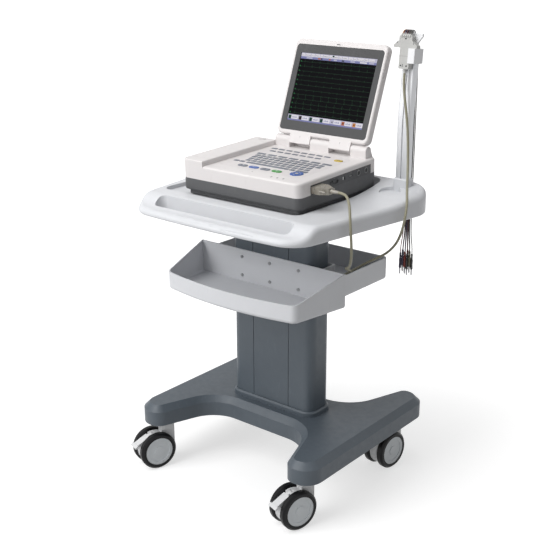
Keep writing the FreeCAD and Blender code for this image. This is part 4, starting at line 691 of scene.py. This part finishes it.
def make_leads():
    for row in (0, 1):
        for i in range(LEAD_COLUMNS):
            number = row * LEAD_COLUMNS + i
            points = lead_points(i, row)
            lead = make_cord("lead_%d" % number, points, LEAD_D, materials[LEAD_COLOURS[number]])
            x, y, z = points[-1]
            end = upright(x, y, z + PLUG_ENTRY)
            plug = lathe("lead_plug_%d" % number, plug_rings(), end, [PLUG_COLOURS[number]], "root")
            pin = lathe("lead_pin_%d" % number, pin_rings(), end, ["pin_metal"], "root")
            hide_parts("lead_wires")
            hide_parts("lead_plugs")
            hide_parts("lead_pins")


make_trunk()
make_leads()


# Picture on the display: buttons and a status line above, twelve traces, a row of buttons below

SCREEN_W = 246.0
SCREEN_LOW = 50.8
SCREEN_HIGH = 235.3
PANEL_Z = 11.1
PICTURE_Z = PANEL_Z + 0.25
BAR_Z = PICTURE_Z - 0.08
STRIP_Z = PICTURE_Z - 0.04
SIGN_Z = PICTURE_Z + 0.05
BAR_TOP = 16.0
BAR_FOOT = 16.5
TRACES = 12
TRACE_LEFT = 9.0
TRACE_SHIFT = 1.7
TRACE_HALF = 0.42
BEAT_W = 25.4
BEAT = ((0.00, 0.0), (0.12, 0.0), (0.16, 0.12), (0.20, 0.0), (0.25, 0.0), (0.27, -0.12), (0.29, 1.0),
        (0.31, -0.28), (0.33, 0.0), (0.44, 0.02), (0.51, 0.24), (0.58, 0.02))
TRACE_HEIGHTS = (5.0, 6.5, -3.2, 3.6, 2.4, 4.4, -3.8, -5.6, 7.0, 8.0, 7.4, 6.0)


def trace_faces(row):
    """One trace as a chain of thin faces, with its label at the left."""
    low = SCREEN_LOW + BAR_FOOT
    pitch = (SCREEN_HIGH - BAR_TOP - low) / TRACES
    level = SCREEN_HIGH - BAR_TOP - pitch * (row + 0.62)
    left = -SCREEN_W / 2 + TRACE_LEFT
    line = []
    beat = 0
    while left + beat * BEAT_W < SCREEN_W / 2:
        for share, rise in BEAT:
            x = left + (beat + share) * BEAT_W + TRACE_SHIFT * (row % 3)
            if x < SCREEN_W / 2 - 1:
                line.append((x, level + rise * TRACE_HEIGHTS[row]))
        beat += 1
    z = PICTURE_Z
    faces = []
    for (x0, y0), (x1, y1) in zip(line, line[1:]):
        run = math.hypot(x1 - x0, y1 - y0)
        off_x = -(y1 - y0) / run * TRACE_HALF
        off_y = (x1 - x0) / run * TRACE_HALF
        faces.append(([(x0 + off_x, y0 + off_y, z), (x0 - off_x, y0 - off_y, z),
                       (x1 - off_x, y1 - off_y, z), (x1 + off_x, y1 + off_y, z)], "lit_trace"))
    start = -SCREEN_W / 2 + 2.0
    faces.append((patch(start, level - 1.0, start + 3.6, level + 2.6, z), "lit_start"))
    faces.append((patch(start + 4.4, level - 0.6, start + 6.6, level + 0.4, z), "lit_start"))
    return faces


TOOL_WIDTHS = (9, 18, 11, 14, 8, 16, 12, 15, 9, 17, 13, 10, 22, 9, 18)
TOOL_HEIGHT = 10.2
TOOL_GAP = 2.4
DASH_PITCH = 3.4
STATUS_MARKS = ((-66, 9, "lit_red"), (-56, 5, "lit_dark"), (-30, 6, "lit_red"), (-14, 10, "lit_pale"),
                (12, 8, "lit_dark"), (40, 14, "lit_pale"), (70, 22, "lit_white"), (98, 16, "lit_pale"),
                (-104, 20, "lit_pale"))
ICONS = ("lit_green", "lit_brown", "lit_green", "lit_green", "lit_pale", "lit_red", "lit_orange")


def tool_rows():
    """Two rows at the top: pale buttons over a lilac status line."""
    z = PICTURE_Z
    half = SCREEN_W / 2
    middle = SCREEN_HIGH - TOOL_HEIGHT
    faces = [(patch(-half, middle, half, SCREEN_HIGH, BAR_Z), "lit_pale"),
             (patch(-half, SCREEN_HIGH - BAR_TOP, half, middle, BAR_Z), "lit_lilac")]
    x = -half + 2.0
    for count, width in enumerate(TOOL_WIDTHS):
        faces.append((patch(x, middle + 1.2, x + width, SCREEN_HIGH - 1.4, z), "lit_white"))
        dash = x + 1.6
        while dash < x + width - 2.4:
            faces.append((patch(dash, middle + 3.0, dash + 1.1, middle + 4.6 + count % 2, SIGN_Z), "lit_dark"))
            dash += DASH_PITCH
        x += width + TOOL_GAP
    for place, width, slot in STATUS_MARKS:
        faces.append((patch(place, middle - 4.4, place + width, middle - 1.0, z), slot))
    faces.append((patch(-20, SCREEN_HIGH - 5.5, -14, SCREEN_HIGH - 1.5, z + 0.06), "lit_green"))
    return faces


def button_row():
    """The row at the foot: an icon and a white field with a few signs for each button."""
    z = PICTURE_Z
    half = SCREEN_W / 2
    top = SCREEN_LOW + BAR_FOOT
    faces = [(patch(-half, SCREEN_LOW, half, top, BAR_Z), "lit_lilac"),
             (patch(-half, SCREEN_LOW + 4.2, half, top, STRIP_Z), "lit_pale")]
    pitch = SCREEN_W / len(ICONS)
    for count, slot in enumerate(ICONS):
        x = -half + pitch * count + 2.4
        faces.append((patch(x, top - 12.0, x + 9.0, top - 2.4, z), slot))
        faces.append((patch(x + 2.6, top - 8.6, x + 6.4, top - 5.8, SIGN_Z), "lit_dark"))
        faces.append((patch(x + 10.0, top - 12.0, x + pitch - 3.4, top - 1.6, z), "lit_white"))
        for mark in range(4):
            left = x + 13.0 + 3.9 * mark
            faces.append((patch(left, top - 8.8, left + 2.2, top - 6.0 + mark % 2, SIGN_Z), "lit_lilac"))
    return faces


def make_screen():
    faces = tool_rows() + button_row()
    for row in range(TRACES):
        faces += trace_faces(row)
    screen = picture("screen_picture", lid, faces, "lid")


make_screen()


# Keys, with their caps and print

PRINT = 0.06
KEYS_OFFSET = 28.0
LETTER_ROWS = ((172.4, -107.0, "1234567890-="), (154.8, -104.0, "QWERTYUIOP[]"),
               (136.3, -99.0, "ASDFGHJKL;'"), (118.6, -94.0, "ZXCVBNM,./?"))
LETTER_PITCH = 18.9
FUNCTION_ROWS = ((255.5, -118.0, 8), (230.2, -104.0, 7))
FUNCTION_PITCH = 25.0
WIDE_ROW = (190.9, -110.0, 35.6, 7)
LETTER_KEY = (15.0, 12.0)
FUNCTION_KEY = (19.0, 9.0)
WIDE_KEY = (28.0, 11.0)
SPACE_ROW = 100.0
SPACE_KEYS = ((-118.0, 15.0), (-99.1, 15.0), (-15.0, 136.0), (64.0, 15.0), (94.0, 34.0))
CAP_FOOT = -5.5
CAP_SHOULDER = 0.4
CAP_TOP = 0.9
CAP_DISH = 0.7
CAP_CORNER = 1.6
CAP_DRAFT = 0.6
CAPITAL_SHARE = 0.7
LETTER_SIZE = 4.6
WORD_SIZE = 4.4
FUNCTION_SIZE = 3.6


def cap_ring(x, y, half_w, half_d, radius, z):
    """Rectangle with rounded corners, four points to a corner."""
    ring = []
    for corner, (sx, sy) in enumerate(((1, 1), (-1, 1), (-1, -1), (1, -1))):
        for step in range(4):
            angle = math.pi / 2 * (corner + step / 3)
            ring.append((x + sx * (half_w - radius) + radius * math.cos(angle),
                         y + sy * (half_d - radius) + radius * math.sin(angle), z))
    return ring


def key_caps(name, places, body, node):
    """Low keys with rounded corners, drafted sides, a chamfered edge and a slightly dished top."""
    shape = bmesh.new()
    for x, y, w, d in places:
        half_w, half_d = w / 2, d / 2
        levels = [(0.0, CAP_CORNER, CAP_FOOT), (CAP_DRAFT, CAP_CORNER, CAP_SHOULDER),
                  (CAP_DRAFT + 0.5, CAP_CORNER - 0.2, CAP_TOP), (CAP_DRAFT + 2.2, 1.0, CAP_DISH)]
        loops = [[shape.verts.new(point) for point in cap_ring(x, y, half_w - inset, half_d - inset, radius, z)]
                 for inset, radius, z in levels]
        for low, high in zip(loops, loops[1:]):
            bridge(shape, low, high)
        shape.faces.new(loops[0][::-1])
        shape.faces.new(loops[-1])
    caps = finish_mesh(name, mesh_from(name, shape), deck, ["key_grey"], body)
    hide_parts(node)


def make_key_caps():
    letters = []
    for y, first, text in LETTER_ROWS:
        letters += [(KEYS_OFFSET + first + LETTER_PITCH * i, y, *LETTER_KEY) for i in range(len(text))]
    letters += [(KEYS_OFFSET + x, SPACE_ROW, width, LETTER_KEY[1]) for x, width in SPACE_KEYS]
    key_caps("letter_caps", letters, "letter_keys", "letter_keys")
    functions = []
    for y, first, count in FUNCTION_ROWS:
        functions += [(KEYS_OFFSET + first + FUNCTION_PITCH * i, y, *FUNCTION_KEY) for i in range(count)]
    y, first, pitch, count = WIDE_ROW
    functions += [(KEYS_OFFSET + first + pitch * i, y, *WIDE_KEY) for i in range(count)]
    key_caps("function_caps", functions, "function_keys", "function_keys")


def words(name, matrix, entries, slot, body):
    """Printed characters: each entry is text, place and letter height in millimetres."""
    shape = bmesh.new()
    for text, x, y, z, height in entries:
        curve = bpy.data.curves.new("print", "FONT")
        curve.body = text
        curve.size = height / CAPITAL_SHARE
        curve.resolution_u = 2
        curve.align_x = "CENTER"
        curve.align_y = "CENTER"
        source = bpy.data.objects.new("print", curve)
        mesh = bpy.data.meshes.new_from_object(source)
        mesh.transform(Matrix.Translation((x, y, z)))
        shape.from_mesh(mesh)
        bpy.data.meshes.remove(mesh)
        bpy.data.objects.remove(source)
        bpy.data.curves.remove(curve)
    return finish_mesh(name, mesh_from(name, shape), matrix, [slot], body)


def make_key_print():
    z = CAP_DISH + PRINT
    letters = []
    for y, first, text in LETTER_ROWS:
        for i, letter in enumerate(text):
            letters.append((letter, KEYS_OFFSET + first + LETTER_PITCH * i, y, z, LETTER_SIZE))
    letters.append(("OK", KEYS_OFFSET + SPACE_KEYS[-1][0], SPACE_ROW, z, WORD_SIZE))
    words("letter_print", deck, letters, "key_ink", "letter_keys")
    functions = []
    number = 1
    for y, first, count in FUNCTION_ROWS:
        for i in range(count):
            functions.append(("F%d" % number, KEYS_OFFSET + first + FUNCTION_PITCH * i, y, z, FUNCTION_SIZE))
            number += 1
    y, first, pitch, count = WIDE_ROW
    for i in range(count):
        functions.append(("%d" % (i + 1), KEYS_OFFSET + first + pitch * i, y, z, WORD_SIZE))
    words("function_print", deck, functions, "key_ink", "function_keys")


# Printed marks, and dark pieces of painted shade in the jacks, the box's holes and screw, and the lid's latch slot

KEY_TOP = 2.0
COLOUR_ROW = 67.0
COLOUR_FIRST = KEYS_OFFSET - 69.0
COLOUR_PITCH = 36.8
NAV_CENTRE = (KEYS_OFFSET + 97.0, 75.5)
NAV_ARROW = ((-2.6, 10.6), (2.6, 10.6), (0.0, 14.2))
POWER_CENTRE = (KEYS_OFFSET + 106.0, 237.2)
POWER_STEPS = 14
LAMP_MARKS = ((90.0, 19.0), (108.0, 20.0), (126.0, 20.8))
LID_FACE = 14.4
TAB_SPANS = ((-99.4, -31.4), (31.4, 99.4))
JACKS = (245.0, 278.0)
JACK_HEIGHT = -24.0
INSERT_DEPTH = -1.2
BOX_FACE = 33.2


def make_key_marks():
    z = KEY_TOP + PRINT
    row = COLOUR_ROW
    first = COLOUR_FIRST
    copy = [(patch(first - 4, row - 2.6, first + 1, row + 1.4, z), "ink_and_painted_shade"),
            (patch(first - 1, row - 1.0, first + 4, row + 3.0, z + 0.02), "print_white")]
    picture("copy_mark", deck, copy, "copy_key")
    x = first + COLOUR_PITCH
    mode = [(patch(x - 5, row + 1.0, x + 5, row + 2.2, z), "print_white"),
            (patch(x - 5, row - 2.2, x + 2, row - 1.0, z), "print_white")]
    picture("mode_mark", deck, mode, "mode_key")
    x += COLOUR_PITCH
    menu = [(patch(x - 4, row + step - 0.5, x + 4, row + step + 0.5, z), "ink_and_painted_shade") for step in (-2.6, 0.0, 2.6)]
    picture("menu_mark", deck, menu, "menu_key")
    x += COLOUR_PITCH
    start = [([(x - 2.4, row - 3.2, z), (x + 3.6, row, z), (x - 2.4, row + 3.2, z)], "print_white")]
    picture("print_mark", deck, start, "print_key")
    x, y = NAV_CENTRE
    arrows = [(disc(x, y, 4.4, z), "print_white"), (disc(x + 1.0, y - 1.2, 2.2, z + 0.02), "mark_yellow")]
    for turn in range(4):
        c, s = math.cos(turn * math.pi / 2), math.sin(turn * math.pi / 2)
        arrows.append(([(x + c * px - s * py, y + s * px + c * py, z) for px, py in NAV_ARROW], "print_white"))
    picture("nav_marks", deck, arrows, "nav_pad")
    x, y = POWER_CENTRE
    ring = []
    for i in range(POWER_STEPS):
        a0 = math.radians(120 + 300 * i / POWER_STEPS)
        a1 = math.radians(120 + 300 * (i + 1) / POWER_STEPS)
        ring.append(([(x + r * math.cos(a), y + r * math.sin(a), z) for a, r in
                      ((a0, 2.6), (a1, 2.6), (a1, 3.6), (a0, 3.6))], "ink_and_painted_shade"))
    ring.append((patch(x - 0.5, y + 0.6, x + 0.5, y + 4.4, z), "ink_and_painted_shade"))
    picture("power_mark", deck, ring, "power_key")


def make_deck_marks():
    """Three signs at the front edge and a small one by the colour keys."""
    z = PRINT
    faces = []
    for x, y in LAMP_MARKS:
        faces.append((disc(x, y, 2.4, z, 16), "mark_dark"))
        faces.append((patch(x - 3.4, y + 3.4, x + 2.2, y + 5.2, z), "mark_dark"))
    faces.append((patch(17.4, 31.6, 20.4, 34.6, z), "mark_grey"))
    picture("deck_marks", deck, faces, "root")


def make_lid_marks():
    """A dark patch of painted shade for the latch slot at the lid's upper edge, and a short line on each tab."""
    z = LID_FACE + PRINT
    # The first patch is painted shade where the latch slot sits; the tab lines are print.
    faces = [(patch(-12.0, 262.0, -1.0, 264.4, z), "ink_and_painted_shade")]
    for left, right in TAB_SPANS:
        middle = (left + right) / 2
        faces.append((patch(middle - 0.5, 6.0, middle + 0.5, 11.5, z), "mark_grey"))
    picture("lid_marks", lid, faces, "lid")


def make_port_marks():
    """White insert in the square port, a tongue in the slot port, rings round the jacks with painted shade inside
    them, small signs.
    """
    z = PRINT
    faces = [(patch(140.6, -17.4, 143.4, -16.2, z), "mark_grey"),
             (patch(208.0, -17.4, 214.0, -16.4, z), "mark_grey")]
    for x in JACKS:
        faces.append((patch(x - 2.4, -14.6, x + 2.4, -13.6, z), "mark_grey"))
    faces.append((patch(176.4, -27.6, 182.6, -20.4, INSERT_DEPTH), "print_white"))
    faces.append((patch(204.6, -25.2, 217.4, -23.9, INSERT_DEPTH), "print_white"))
    picture("port_marks", side, faces, "root")
    for number, x in enumerate(JACKS):
        place = side @ Matrix.Translation(Vector((x, JACK_HEIGHT, 0)) * MM)
        # Faces past the fourth ring, the socket's inner wall and floor, take the dark colour of painted shade
        rings = [(7.2, 0.0), (7.2, 0.9), (6.9, 1.2), (6.4, 1.3), (6.1, 0.9), (5.0, 0.9), (5.0, 0.4), (0.6, 0.4)]
        lathe("jack_ring_%d" % number, rings, place, ["ring_grey", "shadow_gap"], "root", 28, 4)


def make_box_marks():
    """A sunk screw and two holes, both drawn dark as painted shade, and thin lines on the front of the junction
    box.
    """
    place = tip @ Matrix.Translation(Vector((0, 170.3, BOX_FACE - 2.4)) * MM)
    # The screw is a turned piece all in painted shade, dark where it sits in its recess
    rings = [(2.1, 0.0), (2.1, 0.8), (1.5, 1.1), (0.5, 1.1)]
    lathe("box_screw", rings, place, ["shadow_gap"], "root", 18)
    z = BOX_FACE + PRINT
    # The two holes are flat discs of painted shade
    faces = [(disc(-8.4, 105.4, 1.9, z), "shadow_gap"), (disc(7.6, 104.8, 2.1, z), "shadow_gap"),
             (patch(-3.8, 102.0, -2.2, 109.0, z), "ink_and_painted_shade"),
             (patch(-24.4, 158.4, -22.8, 162.0, z), "ink_and_painted_shade"), (patch(22.8, 157.0, 24.0, 163.5, z), "ink_and_painted_shade"),
             (patch(-14.0, 128.0, 14.0, 128.7, z), "mark_grey")]
    picture("box_marks", tip, faces, "root")


# Hinge covers and the cover of the worktop's well

def prism(name, outline, x0, x1, matrix, slot, body):
    """A bar along x with the given cross-section, its outline in (y, z)."""
    shape = bmesh.new()
    ends = [[shape.verts.new((x, y, z)) for y, z in outline] for x in (x0, x1)]
    for face in bridge(shape, *ends):
        face.smooth = True
    shape.faces.new(ends[0][::-1])
    shape.faces.new(ends[1])
    bmesh.ops.recalc_face_normals(shape, faces=shape.faces)
    mesh = mesh_from(name, shape)
    mesh.set_sharp_from_angle(angle=math.radians(35))
    finish_mesh(name, mesh, matrix, [slot], body)


SKIRT_OUTLINE = [(-3.5, 5.4), (-3.5, 14.4), (-7.6, 14.4), (-8.5, 14.1), (-8.9, 13.6), (-9.0, 12.9),
                 (-9.0, 6.4), (-8.7, 5.7), (-8.0, 5.4)]
WALL_OUTLINE = [(316.0, -0.5), (316.0, 8.6), (316.3, 9.4), (317.0, 9.9), (317.8, 10.0), (319.4, 10.0),
                (320.2, 9.7), (320.7, 9.1), (324.9, -0.5)]
KNUCKLE_GAP = 0.6
WELL_SPOT = (243.0, 140.0, 782.05)
WELL_RINGS = [(27.6, 0.0), (27.9, 0.4), (27.9, 1.6), (27.3, 2.2), (25.6, 2.3), (25.2, 1.9), (24.4, 1.9),
              (24.0, 2.3), (12.0, 2.5), (0.8, 2.5)]


def make_hinge_covers():
    """Skirts that carry the lid's tabs down in front of the hinge, and low walls of the case behind them."""
    for number, (left, right) in enumerate(TAB_SPANS):
        prism("tab_skirt_%d" % number, SKIRT_OUTLINE, left, right, lid, "case_light", "lid")
        prism("hinge_wall_%d" % number, WALL_OUTLINE, LID_OFFSET + left - KNUCKLE_GAP,
              LID_OFFSET + right + KNUCKLE_GAP, deck, "case_light", "root")


def make_well_cover():
    """Loose round cover that lies on the floor of the worktop's well, with a finger groove round its rim."""
    lathe("well_cover", WELL_RINGS, upright(*WELL_SPOT), ["tray_plastic"], "root", 48)


make_key_caps()
make_key_print()
make_key_marks()
make_deck_marks()
make_lid_marks()
make_port_marks()
make_box_marks()
make_hinge_covers()
make_well_cover()
